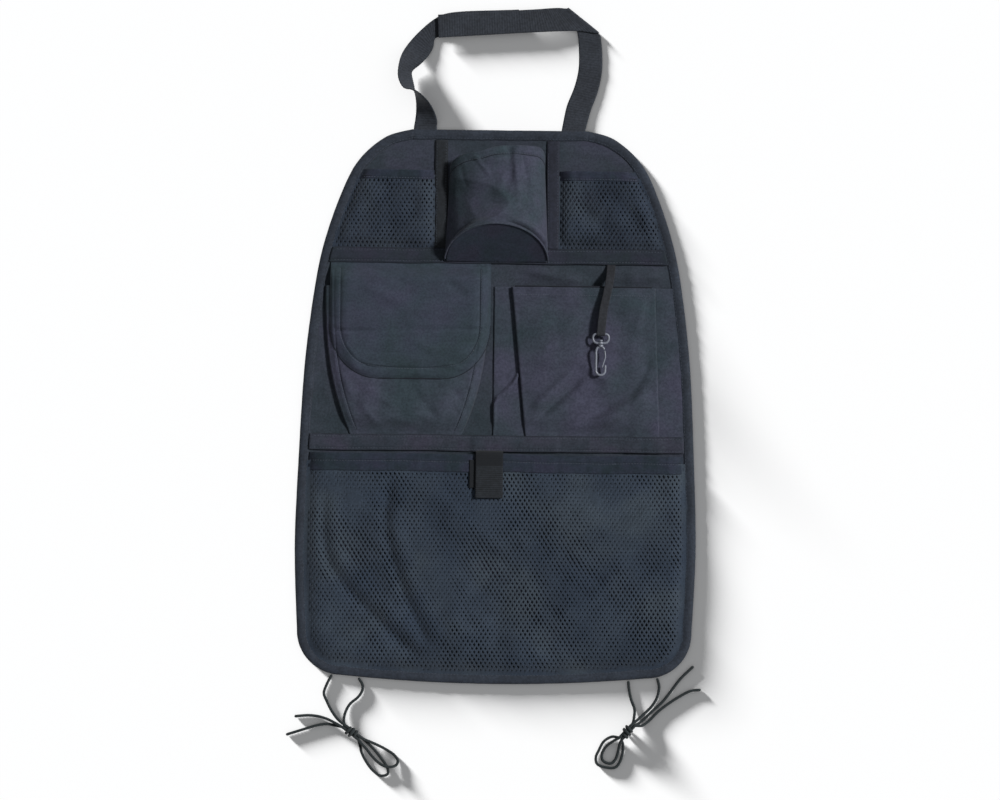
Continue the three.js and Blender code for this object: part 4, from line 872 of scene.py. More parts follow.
def make_tape(name, left, right, material):
    xs = np.linspace(left, right, 12)
    near = np.minimum(xs - left, right - xs)
    dip = 0.5 * bell(near, 1.2) + 0.3 * bell(near - 1.8, 0.7)
    rows = []
    for y in np.linspace(UPPER_BAND_TOP + GAP, PANEL_HEIGHT - BINDING_WIDTH - GAP, 90):
        rows.append(xyz(xs + 0.25 * math.sin(y / 19), y, TAPE_Z - dip + 0.15 * ripple(xs, y, 31, 9, 40)))
    build(name, cloth(np.array(rows), CLOTH), material, [name])
    y = np.linspace(UPPER_BAND_TOP + 1, PANEL_HEIGHT - BINDING_WIDTH - 1, 90)
    seams = [stitches(xyz(x + 0.25 * np.sin(y / 19), y, TAPE_Z + 0.3), 3.1, 2, 0.2)
             for x in (left + 1.8, right - 1.8)]
    build(name + "_stitches", seams, THREAD_MATERIAL)


# The left tape takes the darker copy of the tape colour: painted shade from the bottle holder.
make_tape("left_divider_tape", -69.5, -56, LEFT_TAPE_PAINTED_SHADE_MATERIAL)
make_tape("right_divider_tape", 51, 64.5, TAPE_MATERIAL)


# Nets: a lattice of diamonds, each with a gap in it

NET_PITCH = (4.75, 7.8)
NET_CLOTH = 0.55
KNUCKLE, SLIT_THINNING = 0.34, 0.16
SMALLEST_GAP = 0.12


def inside_of(line, x, y):
    """Which spots lie inside a closed line."""
    within = np.zeros(np.shape(x), bool)
    for (ax, ay), (bx, by) in zip(line, np.roll(line, -1, axis=0)):
        if ay == by:
            continue
        crosses = (ay > y) != (by > y)
        within ^= crosses & (x < ax + (bx - ax) * (y - ay) / (by - ay))
    return within


def nearest_on(line, spots):
    """The closest point of a closed line to each spot."""
    best = np.full(len(spots), np.inf)
    found = spots.copy()
    for a, b in zip(line, np.roll(line, -1, axis=0)):
        way = b - a
        size = max((way ** 2).sum(), 1e-12)
        share = np.clip(((spots - a) @ way) / size, 0, 1)
        near = a + share[:, None] * way
        away = ((spots - near) ** 2).sum(axis=1)
        closer = away < best
        best[closer] = away[closer]
        found[closer] = near[closer]
    return found


def net_mesh(border, height, openness, lean):
    """A net inside a closed border line.

    openness says how much of each cell is gap, and lean how far its slit slants.
    """
    half_x, half_y = NET_PITCH[0] / 2, NET_PITCH[1] / 2
    low, high = border.min(axis=0), border.max(axis=0)
    columns = np.arange(math.floor(low[0] / half_x) - 2, math.ceil(high[0] / half_x) + 3)
    rows = np.arange(math.floor(low[1] / half_y) - 2, math.ceil(high[1] / half_y) + 3)
    i, j = np.meshgrid(columns, rows, indexing="ij")
    within = inside_of(border, i * half_x, j * half_y).ravel()
    number = np.arange(i.size).reshape(i.shape)
    centre = np.zeros(i.shape, bool)
    centre[1:-1, 1:-1] = ((i + j) % 2 == 0)[1:-1, 1:-1]
    a, b = np.nonzero(centre)
    around = np.column_stack([number[a + 1, b], number[a, b + 1], number[a - 1, b], number[a, b - 1]])
    used, cells = np.unique(around[within[around].any(axis=1)], return_inverse=True)
    cells = cells.reshape(-1, 4)
    spots = np.column_stack([(i * half_x).ravel()[used], (j * half_y).ravel()[used]]).astype(float)
    out = ~within[used]
    spots[out] = nearest_on(border, spots[out])

    # Each cell's gap is the cell made smaller and slanted about its middle
    corners = spots[cells]
    centres = corners.mean(axis=1)
    gap = openness(centres[:, 0], centres[:, 1])
    reach = (corners - centres[:, None]) * gap[:, None, None]
    reach[..., 0] = reach[..., 0] * 0.92 + lean(centres[:, 0], centres[:, 1])[:, None] * reach[..., 1]
    flat = np.vstack([spots, (centres[:, None] + reach).reshape(-1, 2)])
    x, y = flat[:, 0], flat[:, 1]
    step = 0.3
    slope_x = (height(x + step, y) - height(x - step, y)) / (2 * step)
    slope_y = (height(x, y + step) - height(x, y - step)) / (2 * step)
    normal = xyz(-slope_x, -slope_y, 1)
    normal /= np.linalg.norm(normal, axis=1, keepdims=True)
    knuckle = np.concatenate([np.full(len(spots), KNUCKLE), np.full(4 * len(cells), -SLIT_THINNING)])
    middle = xyz(x, y, height(x, y))
    shift = normal * (NET_CLOTH / 2 + knuckle)[:, None]

    layer = len(flat)
    faces = []
    edges = set()
    for k, cell in enumerate(cells.tolist()):
        edges.update(zip(cell, cell[1:] + cell[:1]))
        if gap[k] < SMALLEST_GAP:
            faces.append(cell)
            faces.append([c + layer for c in cell[::-1]])
            continue
        hole = [len(spots) + 4 * k + m for m in range(4)]
        for m in range(4):
            n = (m + 1) % 4
            faces.append([cell[m], cell[n], hole[n], hole[m]])
            faces.append([c + layer for c in (cell[n], cell[m], hole[m], hole[n])])
            faces.append([hole[m], hole[n], hole[n] + layer, hole[m] + layer])
    faces += [[b, a, a + layer, b + layer] for a, b in sorted(edges) if (b, a) not in edges]
    return np.vstack([middle + shift, middle - shift]), faces


LARGE_NET_FOLDS = [
    ([(-187, 205), (-187, 167), (-178, 126), (-133, 75), (-74, 20)], 6, -3.4),
    ([(-172, 205), (-174, 170), (-164, 132), (-120, 84), (-62, 30)], 7, 2.0),
    ([(-111, 228), (-119, 174), (-105, 116), (-69, 35)], 6, -3.0),
    ([(-98, 228), (-106, 176), (-92, 120), (-56, 44)], 8, 1.8),
    ([(-82, 215), (-40, 180), (24, 135)], 10, 1.6), ([(180, 232), (130, 196), (82, 170), (29, 141)], 8, 2.0),
    ([(186, 218), (130, 180), (80, 152), (26, 122)], 8, -2.6), ([(60, 225), (90, 210), (120, 222)], 9, -2.4),
    ([(196, 100), (120, 60), (40, 38)], 10, -2.2), ([(30, 120), (4, 70), (10, 24)], 10, -2.2),
    ([(150, 150), (110, 100), (60, 60)], 9, 1.6), ([(-30, 120), (-44, 70), (-30, 26)], 10, 1.8)]


def large_net_height(x, y):
    inside = depth_inside(x, y) - BINDING_WIDTH
    rise = puff((inside - 1.6) / 20)
    mouth = lerp(1, 0.95, smooth((y - LARGE_NET_TOP + 90) / 50))
    soft = smooth((inside - 2) / 26) * smooth((LARGE_NET_TOP - 14 - y) / 30)
    lay = draped(x, y, LARGE_NET_FOLDS) + 0.8 * ripple(x, y, 41, 50, 150)
    return SEAM_Z + 8 * rise * mouth + soft * lay


# Where the large net is drawn tight over a fold and its holes close: x, y, radius
NET_TIGHT_SPOTS = [(-182, 208, 24), (-150, 200, 18), (-12, 190, 24), (108, 205, 24), (150, 180, 30)]

def large_net_open(x, y):
    """How much of each cell is gap: slack net closes up in patches."""
    patches = ripple(x, 0.8 * y, 43, 60, 190, 9) + 0.6 * ripple(x, y, 44, 16, 40, 11)
    edge = smooth((depth_inside(x, y) - BINDING_WIDTH) / 9)
    hem = smooth((LARGE_NET_TOP - 14 - y) / 8)
    open_ = np.clip(0.43 + 0.17 * patches, 0.22, 0.62) * edge * lerp(0.3, 1, hem)
    for at_x, at_y, radius in NET_TIGHT_SPOTS:
        open_ = open_ * (1 - 0.7 * bell(np.hypot(x - at_x, y - at_y), radius))
    return open_


def large_net_lean(x, y):
    return -0.18 + 0.22 * ripple(x, y, 45, 70, 190, 7)


def make_large_net():
    tucked = 4.6
    line = outline + inward(outline) * (BINDING_WIDTH - tucked)
    top = LARGE_NET_TOP - 8
    side = half_width(top) - BINDING_WIDTH + tucked
    keep = line[line[:, 1] < top - 0.5]
    right = keep[keep[:, 0] >= 0]
    right = right[np.argsort(np.arctan2(right[:, 1] - 200, right[:, 0]))]
    left = (right * (-1, 1))[::-1]
    border = np.vstack([right, [(side, top), (-side, top)], left])
    piece = build("large_net", net_mesh(border, large_net_height, large_net_open, large_net_lean),
                  NET_MATERIAL, ["large_net_pocket"])


make_large_net()


# The tape round a net's top edge stands this far from the middle of the net, on both sides
HEM_CLOTH = 0.5
HEM_RISE = 0.8


def folded_hem(name, height, ends, foot, top, columns, seed, node, seam):
    """Tape folded over the top edge of a net, puckered along its stitches."""
    middle = (foot + top) / 2
    profile = [(foot, HEM_RISE), (foot + 0.6, HEM_RISE + 0.15), (middle, HEM_RISE + 0.1),
               (top - 1.2, HEM_RISE), (top - 0.2, HEM_RISE * 0.6), (top + 0.4, 0),
               (top - 0.2, -HEM_RISE * 0.6), (top - 1.2, -HEM_RISE), (middle, -HEM_RISE), (foot, -HEM_RISE)]

    def lay(y, x, left, right):
        inner = smooth((x - left) / 6) * smooth((right - x) / 6)
        pucker = 0.3 * ripple(x, 0, seed, 6, 26) - 0.35 * bell(y - seam, 1.0)
        return y + edge_sway(x, seed + 1) * inner, inner, pucker * inner

    rows = []
    for y, lift in spread(np.array(profile), 0.8):
        left, right = ends(min(y, top))
        x = np.linspace(left, right, columns)
        ys, inner, pucker = lay(y, x, left, right)
        rows.append(xyz(x, ys, height(x, min(y, top)) + lift * (0.55 + 0.45 * inner) + pucker))
    build(name, cloth(np.array(rows), HEM_CLOTH), NET_HEM_MATERIAL, [node])
    left, right = ends(seam)
    x = np.linspace(left + 3, right - 3, LINE_POINTS)
    ys, inner, pucker = lay(seam, x, left, right)
    line = xyz(x, ys, height(x, seam) + pucker + HEM_RISE + 0.42)
    build(name + "_stitches", stitches(line, 3.0, 1.9, 0.28), THREAD_MATERIAL)
    # The dark overlock beside the stitches also paints the shade along the seam.
    build(name + "_seam", overlock(line + (0, 1.3, -0.25), 0.45), THREAD_AND_SHADE_MATERIAL)


# Folds of both small nets, with x counted outwards
SMALL_NET_FOLDS = [(100, 548, 170, 480, 9, -2.8), (78, 525, 130, 478, 8, -2.2),
                   (150, 548, 118, 500, 7, 1.6), (90, 550, 96, 490, 7, -1.6)]


def make_small_net(name, side):
    inner = HOLDER_X * side + HOLDER_RADIUS + 11.5

    def outer(y):
        return binding_inside(y + 4 * GAP)

    def height(x, y):
        rise, soft = 7.0, 1.0
        for inside in (outer(y) - GAP - side * x, side * x - inner, y - UPPER_BAND_TOP):
            rise = rise * puff((inside - 1.6) / 16)
            soft = soft * smooth((inside - 2) / 20)
        lay = folds(x * side, y, SMALL_NET_FOLDS) + 0.7 * ripple(x, y, 51 + side, 30, 100)
        return SEAM_Z + rise + soft * lay * smooth((SMALL_NET_TOP - 4 - y) / 16)

    def openness(x, y):
        near = np.minimum(np.minimum(binding_inside(y) - side * x, side * x - inner), y - UPPER_BAND_TOP)
        patches = ripple(x, y, 47 + side, 24, 70, 6) + 0.5 * ripple(x, y, 57 + side, 10, 24, 6)
        return np.clip(0.43 + 0.15 * patches, 0.24, 0.64) * smooth((near + 1) / 5)

    def lean(x, y):
        return 0.2 * ripple(x, y, 49 + side, 30, 90, 5)

    def ends(y):
        return sorted([side * (inner + 1.0), side * (outer(y) - 1.0)])

    foot, top = UPPER_BAND_TOP - 4.6, SMALL_NET_TOP - 5
    levels = np.linspace(foot, top, 24)
    border = np.vstack([np.column_stack([side * (outer(levels) + 4.2), levels]),
                        [(side * (inner - 4.6), top), (side * (inner - 4.6), foot)]])
    piece = build(f"{name}_net", net_mesh(border, height, openness, lean), SMALL_NET_MATERIAL,
                  [f"{name}_net_pocket"])
    hem_foot = SMALL_NET_TOP - SMALL_HEM
    folded_hem(f"{name}_hem_tape", height, ends, hem_foot, SMALL_NET_TOP, 90, 61 + side,
               f"{name}_net_hem", hem_foot + 1.4)


def large_hem_ends(y):
    return GAP - binding_inside(y), binding_inside(y) - GAP


make_small_net("left", -1)
make_small_net("right", 1)
folded_hem("large_hem_tape", large_net_height, large_hem_ends, LARGE_NET_TOP - LARGE_HEM, LARGE_NET_TOP,
           240, 71, "large_net_hem", LARGE_NET_TOP - 8.4)


# Bottle holder

HOLDER_MOUTH = 562
# The crease from the holder's mouth, and the edge of the hollow in its lower left, both from the top down
HOLDER_CREASE = [(12, 579), (15.5, 566), (17, 551), (12, 534), (8, 522)]
HOLDER_HOLLOW = [(-64, 546), (-34, 543), (-14, 539), (-1, 532), (6.5, 525), (9.5, 517), (4, 509), (-3, 503),
                 (-10, 498), (-18, 494)]
HOLDER_FOLDS = [(-30, 572, -8, 545, 2.2, 1.5), (-44, 566, -36, 530, 2.5, -0.8), (-20, 560, 8, 566, 2, 1.2),
                (24, 572, 30, 545, 2, -1.3), (-40, 520, -24, 500, 3, 0.4), (20, 520, 40, 500, 3, -0.9)]


def holder_rim(angle, radius=HOLDER_RADIUS):
    reach = radius * np.sin(angle)
    return xyz(HOLDER_X + radius * np.cos(angle), HOLDER_FOOT + reach * math.cos(HOLDER_TILT),
               HOLDER_Z + reach * math.sin(HOLDER_TILT))


def holder_mouth(angle):
    arch = np.maximum(np.sin(angle), 0)
    degrees = np.degrees(angle)
    tuck = 3 * bell(degrees - 75, 7)
    sway = 2.4 * bell(degrees - 112, 12) - 2.2 * bell(degrees - 26, 18)
    return xyz(HOLDER_X + (HOLDER_RADIUS - 5) * np.cos(angle),
               HOLDER_MOUTH + 6 * np.cos(angle) + 17 * arch ** 0.8 - sway, HOLDER_Z + 24 * arch - tuck)


def pressed_in(points, x, y, depth, reach, width):
    """A hollow on the left of a curve that runs downwards."""
    curve = curve_through(points, 2)
    away = distance_to(curve, x, y)
    beside = x - np.interp(y, curve[::-1, 1], curve[::-1, 0])
    return np.where(beside < 0, -depth * (1 - np.exp(-away / reach)) * bell(away, width), 0)


def holder_relief(x, y, a, s, hem):
    """How far the wall stands out from its plain form, at a degrees round it and a share s of its height."""
    crease = pressed_in(HOLDER_CREASE, x, y, 5, 10, 34) * smooth((574 - y) / 26) * smooth((y - 512) / 20)
    hollow = pressed_in(HOLDER_HOLLOW, x, y, 17, 28, 110)
    tuck = -1.7 * bell(a - 75, 4.5) * smooth((s - 0.72) / 0.2)
    dents = 1.2 * bell(a - 100 + 30 * s, 6) * bell(s - 0.62, 0.2) \
        - 0.6 * bell(a - 140, 13) * bell(s - 0.6, 0.25)
    ridge = 1.4 * bell(a - 60 - 10 * s, 4) * bell(s - 0.62, 0.22) \
        - 1.4 * bell(a - 52, 5) * bell(s - 0.6, 0.3)
    waves = folds(x, y, HOLDER_FOLDS) + 0.5 * ripple(a, s * 80, 81, 20, 90)
    soft = np.sin(np.radians(a)) ** 0.6 * smooth(s / 0.12) * smooth((1.02 - s) / 0.1)
    lip = 2.2 * bell(s - 0.075, 0.03) - 2.4 * bell(s - 0.026, 0.016)
    lip = lip * smooth((84 - a) / 20) * smooth((a - 8) / 12)
    return soft * (crease + hollow + tuck + dents + ridge + waves) - 0.6 * bell(s - hem, 0.014) + lip


def make_holder():
    angles = np.linspace(math.pi, 0, 121)
    hem = 1 - 10 / (HOLDER_MOUTH - HOLDER_FOOT)
    shares = np.unique(np.concatenate([np.linspace(0, 0.12, 21), np.linspace(0.14, 1, 52),
                                       [hem - 0.012, hem, hem + 0.012]]))
    rim, mouth = holder_rim(angles), holder_mouth(angles)
    grid = np.array([lerp(rim, mouth, s) for s in shares])
    out = grid_normals(grid)
    degrees, levels = np.degrees(angles)[None, :], shares[:, None]
    raised = grid + out * holder_relief(grid[..., 0], grid[..., 1], degrees, levels, hem)[..., None]
    thickness = np.where(levels >= hem, 1.5, 0.8)
    wall = build("holder_wall", cloth(raised, thickness), CUP_MATERIAL,
                 ["bottle_holder_wall"])
    at_hem = np.argmin(abs(shares - hem))
    line = raised[at_hem] + out[at_hem] * 0.75
    build("holder_wall_stitches", stitches(line[4:-4], 3.0, 2.0, 0.22), THREAD_MATERIAL)
    # The dark overlock under the hem's stitches also paints the shade below the hem's fold.
    build("holder_wall_seam", overlock(line[3:-3] + (0, -1.2, -0.2), 0.55), THREAD_AND_SHADE_MATERIAL)

    # Base: a half disc that sags a little
    radii = np.linspace(0, 1, 30)[:, None]
    grid = np.array([holder_rim(angles, (HOLDER_RADIUS - 0.75) * max(r, 0.001)) for r in radii[:, 0]])
    grid[..., 2] += 0.4 * ripple(grid[..., 0], grid[..., 1], 85, 18, 60) * radii * (1 - radii) \
        - 1.6 * (1 - radii ** 2) * np.sin(angles) * radii
    base = build("holder_base", cloth(grid, 0.8), BASE_MATERIAL, ["bottle_holder_base"])
    piping = holder_rim(angles[2:-2], HOLDER_RADIUS + 0.2) + (0, -0.4, 0.3)
    build("holder_piping", tube(piping, 1.0, 10), CUP_MATERIAL)


make_holder()


# Flap pocket and its flap

FLAP_POCKET_FOLDS = [(-30, 330, -22, 290, 3, 1.5), (-24, 345, -12, 310, 2.6, 1.4),
                     (-40, 300, -28, 276, 3.4, 1.4), (-150, 306, -126, 276, 4, 1.3),
                     (-60, 282, -96, 322, 5, -1.5),
                     (-170, 340, -152, 300, 4, 1.2), (-120, 286, -80, 280, 4, 1.0),
                     (-52, 322, -34, 300, 4, -1.2), (-146, 322, -104, 296, 5, 1.2)]
FLAP_FOLDS = [(-20, 352, -38, 334, 3, 1.6), (-12, 372, -26, 350, 2.6, 1.2), (-60, 345, -30, 338, 3, 1.0),
              (-170, 372, -150, 345, 4, 1.0), (-150, 430, -100, 408, 6, 1.2), (-60, 436, -30, 415, 5, -1.2),
              (-130, 450, -90, 420, 6, -0.9), (-100, 372, -60, 356, 5, 0.9)]
FLAP_ROUND, FLAP_ROUND_HEIGHT = 52, 58
FLAP_Z = 15.8
# The two rows of thread beside each pocket edge: name, inset from the edge, pitch, material. The dark row
# also paints the shade in the seam's groove.
FLAP_POCKET_ROWS = [("flap_pocket_stitches", 8.4, 3.1, THREAD_MATERIAL),
                    ("flap_pocket_seams", 9.6, 2.3, THREAD_AND_SHADE_MATERIAL)]
FLAP_ROWS = [("cover_flap_stitches", 10.4, 3.1, THREAD_MATERIAL),
             ("cover_flap_seam", 11.6, 2.3, THREAD_AND_SHADE_MATERIAL)]


def flap_pocket_half(y):
    down = (FLAP_POCKET_TOP - y) / (FLAP_POCKET_TOP - POCKET_FOOT)
    return 88 - 32 * np.maximum(0, down) ** 2.6


def flap_pocket_height(x, y):
    edge = flap_pocket_half(y) - np.abs(x - FLAP_POCKET_X)
    gusset = 3.6 * smooth(edge / 1.2) + 2.9 * smooth(edge / 9)
    crown = 3 * smooth((edge - 4) / 30)
    stitch = bell(edge - 9.4, 1.0)
    foot = smooth((y - LOWER_BAND_TOP + 2) / 24)
    soft = (folds(x, y, FLAP_POCKET_FOLDS) + 0.4 * ripple(x, y, 91, 18, 70)) * smooth((edge - 2) / 10)
    return DOUBLE_SEAM_Z + (gusset + crown - stitch + soft) * foot


def flap_half(y):
    down = np.clip((FLAP_FOOT + FLAP_ROUND_HEIGHT - y) / FLAP_ROUND_HEIGHT, 0, 1)
    return FLAP_WIDTH / 2 - FLAP_ROUND + FLAP_ROUND * np.sqrt(1 - down * down)


def flap_edge():
    """The flap's edge, from its top left down and round to its top right."""
    levels = np.linspace(FLAP_FOOT + FLAP_ROUND_HEIGHT, FLAP_FOOT, 60)
    left = np.column_stack([-flap_half(levels), levels])
    top = [[-FLAP_WIDTH / 2, FLAP_TOP + 30]]
    side = np.vstack([top, left])
    return np.vstack([side, side[::-1] * (-1, 1)]) + (FLAP_X, 0)


FLAP_EDGE = flap_edge()


def flap_height(x, y):
    edge = distance_to(FLAP_EDGE, x, y)
    rest = flap_pocket_height(x, y) + 1.4
    low = lerp(np.minimum(rest, FLAP_Z), FLAP_Z, smooth((edge - 1) / 19))
    stitch = 1.3 * bell(edge - 11.5, 1.0)
    roll = 0.9 * bell(edge - 5.5, 4.4) - bell(edge, 1.8)
    crease = 1.5 * bell(y - 381 - 1.5 * np.sin((x + 90) / 40), 2.2) \
        * (0.35 + 0.65 * smooth((np.abs(x - FLAP_X) - 25) / 35))
    soft = 0.4 * ripple(x, y, 95, 22, 90) + folds(x, y, FLAP_FOLDS)
    full = low + roll - stitch - crease * smooth((edge - 2) / 6) + soft * smooth(edge / 6)
    return lerp(DOUBLE_SEAM_Z, full, smooth((UPPER_SEAM - y) / 20))


def make_flap_pocket():
    edges = np.array([0, 0.3, 0.6, 0.9, 1.2, 1.8, 2.6, 3.6, 4.8, 6, 7.2, 8.4, 9.2, 10, 10.8, 11.6, 13])
    levels = np.concatenate([np.linspace(POCKET_FOOT, 285, 26), np.linspace(285, FLAP_POCKET_TOP, 84)])
    rows = []
    for y in np.unique(levels):
        reach = flap_pocket_half(y)
        inner = np.linspace(edges[-1] - reach, reach - edges[-1], 84)[1:-1]
        rows.append((y, FLAP_POCKET_X + np.concatenate([edges - reach, inner, (reach - edges)[::-1]])))
    piece = build("flap_pocket", cloth(surface(rows, flap_pocket_height), DOUBLE_CLOTH), POCKET_MATERIAL,
                  ["flap_pocket_body"])
    y = np.linspace(LOWER_BAND_TOP + 4, FLAP_POCKET_TOP - 2, 120)
    for name, inset, pitch, material in FLAP_POCKET_ROWS:
        lines = [FLAP_POCKET_X + side * (flap_pocket_half(y) - inset) for side in (-1, 1)]
        seams = [stitches(xyz(x, y, flap_pocket_height(x, y) + 0.5), pitch, pitch - 0.9, 0.26) for x in lines]
        build(name, seams, material)


def flap_outline(inset):
    """The flap's edge, moved in by inset."""
    middle_y = FLAP_FOOT + FLAP_ROUND_HEIGHT
    angles = np.linspace(math.pi, 2 * math.pi, 160)
    wide = (FLAP_WIDTH / 2 - FLAP_ROUND) * np.clip(np.cos(angles) * 2.2, -1, 1) \
        + (FLAP_ROUND - inset) * np.cos(angles)
    curve = np.column_stack([FLAP_X + wide, middle_y + np.sin(angles) * (FLAP_ROUND_HEIGHT - inset)])
    levels = np.linspace(UPPER_SEAM - 6, middle_y + 2, 40)
    left, right = (np.column_stack([np.full(40, x), levels]) for x in (curve[0, 0], curve[-1, 0]))
    return np.vstack([left, curve, right[::-1]])


def make_flap():
    levels = np.concatenate([FLAP_FOOT + 26 * np.linspace(0, 1, 34) ** 1.8,
                             np.linspace(FLAP_FOOT + 26, FLAP_TOP, 76)[1:]])
    t = np.linspace(-1, 1, 121)
    shares = np.sign(t) * (1 - (1 - np.abs(t)) ** 1.25)
    rows = [(y, FLAP_X + flap_half(y) * shares) for y in levels]
    piece = build("cover_flap", cloth(surface(rows, flap_height), DOUBLE_CLOTH), FLAP_MATERIAL,
                  ["flap"])

    def on_flap(line, rise):
        x, y = line[:, 0], line[:, 1]
        return xyz(x, y, flap_height(x, y) + rise)

    for name, inset, pitch, material in FLAP_ROWS:
        seam = stitches(on_flap(flap_outline(inset), 0.5), pitch, pitch - 0.9, 0.26)
        build(name, seam, material)
    # The dark overlock round the flap's edge also paints the shade in the gap under it.
    build("cover_flap_edge", overlock(on_flap(FLAP_EDGE[1:-1], -0.25), 0.85), THREAD_AND_SHADE_MATERIAL)


make_flap_pocket()
make_flap()


# Pleated pocket

# Each side of the pocket as (distance in from its edge, height at the foot, height where it is open)
PLEAT_STEPS = [(-1, 0, 0.3), (12, 0, 0.5), (13, 0.45, 1.2), (12, 0.9, 1.9), (1, 0.9, 3.2), (0, 1.35, 4.1),
               (1, 1.8, 5.2), (19, 1.8, 6.74), (29, 0, 7.4)]
PLEAT_HEM = 9
PLEAT_FOLDS = [(40, 284, 98, 336, 4, -3.4), (34, 294, 86, 342, 5, 2.8), (76, 272, 166, 334, 6, -4.0),
               (96, 270, 176, 324, 6, 3.2), (64, 374, 104, 414, 8, 1.4), (138, 300, 172, 360, 5, -2.2),
               (45, 338, 104, 380, 7, 1.8), (148, 376, 160, 424, 5, 1.6), (58, 273, 150, 280, 4, 1.6),
               (84, 352, 128, 322, 5, 1.6), (30, 400, 60, 424, 6, -1.2)]
# Where the pleat's spare cloth is caught under the pocket's left edge, from the bottom up
PLEAT_TUCK = [(-5, 289), (-4.4, 302), (-0.5, 310.6), (7, 316.5), (15.6, 325), (21.8, 336.5), (24, 341)]


def pleat_left(y):
    return lerp(15, 31, (PLEAT_TOP - y) / (PLEAT_TOP - LOWER_BAND_TOP))


def pleat_right(y):
    return lerp(169, 175.5, (PLEAT_TOP - y) / (PLEAT_TOP - LOWER_BAND_TOP))


def pleat_front(x, y):
    """Wrinkles on the front of the pocket."""
    return (folds(x, y, PLEAT_FOLDS) + 0.7 * ripple(x, y, 101, 18, 70)) * smooth((y - LOWER_BAND_TOP) / 20)


def pleat_crown(near):
    return 5.2 + 2.2 * smooth((near - 1) / 28) ** 0.8


def pleat_lead(x, y):
    edge = np.interp(y, [p[1] for p in PLEAT_TUCK], [p[0] for p in PLEAT_TUCK])
    below = smooth((344 - y) / 10) * smooth((y - 272) / 14)
    return below * (2.4 * bell(x - edge - 1.5, 2.0) + smooth((x - edge) / 2))


def pleat_row(y):
    """The pocket's points across at one height, from the panel on its left to the panel on its right."""
    open_ = float(smooth((y - LOWER_BAND_TOP) / 22))
    left, right = pleat_left(y), pleat_right(y)
    steps = [(d, SEAM_Z + lerp(flat, high, open_)) for d, flat, high in PLEAT_STEPS]
    fold_left = curve_through([(left + d, z) for d, z in steps][:7], 0.9)
    fold_right = curve_through([(right - d, z) for d, z in steps][6::-1], 0.9)
    fold_left, fold_right = (spread(fold, length_of(fold) / 44) for fold in (fold_left, fold_right))
    x = np.linspace(left + 1, right - 1, 96)
    near = np.minimum(x - left, right - x)
    crown = lerp(1.8 * smooth((36 - near) / 12), pleat_crown(near), open_)
    front = np.column_stack([x, SEAM_Z + crown + pleat_front(x, y) * smooth((near - 2) / 14) * open_])
    across = np.linspace(-4, left - 1, 26)
    lead = np.column_stack([across, SEAM_Z + (0.3 + pleat_lead(across, y)) * open_])
    lead[0, 1] = SEAM_Z
    end = binding_inside(y) + 4.6
    tail = np.column_stack([np.linspace(right + 1, end, 14), np.linspace(SEAM_Z + 0.3 * open_, SEAM_Z, 14)])
    row = np.vstack([lead[:-1], fold_left, front[1:-1], fold_right, tail[1:]])
    return xyz(row[:, 0], y, row[:, 1])


def make_pleated():
    levels = np.unique(np.concatenate([
        np.linspace(POCKET_FOOT, 292, 24), np.linspace(292, PLEAT_TOP - PLEAT_HEM, 78),
        np.linspace(PLEAT_TOP - PLEAT_HEM, PLEAT_TOP, 9)]))
    thickness = np.where(levels[:, None] >= PLEAT_TOP - PLEAT_HEM, 1.1, 0.6)
    piece = build("front_pocket", cloth(np.array([pleat_row(y) for y in levels]), thickness), POCKET_MATERIAL,
                  ["pleated_pocket"])
    x = np.linspace(18, 166, 200)
    y = PLEAT_TOP - 8.4
    near = np.minimum(x - pleat_left(y), pleat_right(y) - x)
    z = SEAM_Z + pleat_crown(near) + pleat_front(x, y) * smooth((near - 2) / 14)
    build("front_pocket_stitches", stitches(xyz(x, y, z + 0.5), 2.6, 1.7, 0.3), THREAD_MATERIAL)
    # The dark overlock over the pocket's top edge also paints the shade in the pocket's mouth.
    build("front_pocket_edge", overlock(xyz(x, PLEAT_TOP + 0.8, z - 0.3), 0.9), THREAD_AND_SHADE_MATERIAL)


make_pleated()


# Webbing

def strip(rungs, thickness, columns, step, rib_pitch, rib_height):
    """A ribbed tape between two smooth edges given by rungs of (left, right) points."""
    left, right = (np.array(side, float) for side in zip(*rungs))
    reach = np.maximum(*(np.linalg.norm(np.diff(side, axis=0), axis=1) for side in (left, right)))
    counts = [max(1, math.ceil(r / step)) for r in reach]
    left, right = curve_through(left, step, counts), curve_through(right, step, counts)
    t = np.linspace(0, 1, columns)
    grid = left[:, None] + (right - left)[:, None] * t[None, :, None]
    along = distances((left + right) / 2)[:, None]
    rise = 0.14 * ripple(along, 25 * t, 17, 14, 60)
    thick = thickness * (1 - 0.3 * (bell(t, 0.05) + bell(t - 1, 0.05)))
    thick = thick + rib_height * np.sin(along * 2 * math.pi / rib_pitch)
    return cloth(grid + grid_normals(grid) * rise[..., None], thick)


def make_patch(node, x, y, z, seed):
    """Half of a hook-and-loop fastener over a grid of x and y, with its pile a little uneven."""
    pile = xyz(x, y, z + 0.06 * ripple(x, y, seed, 2, 5))
    build(node + "_pile", cloth(pile, PATCH), PATCH_MATERIAL, [node])


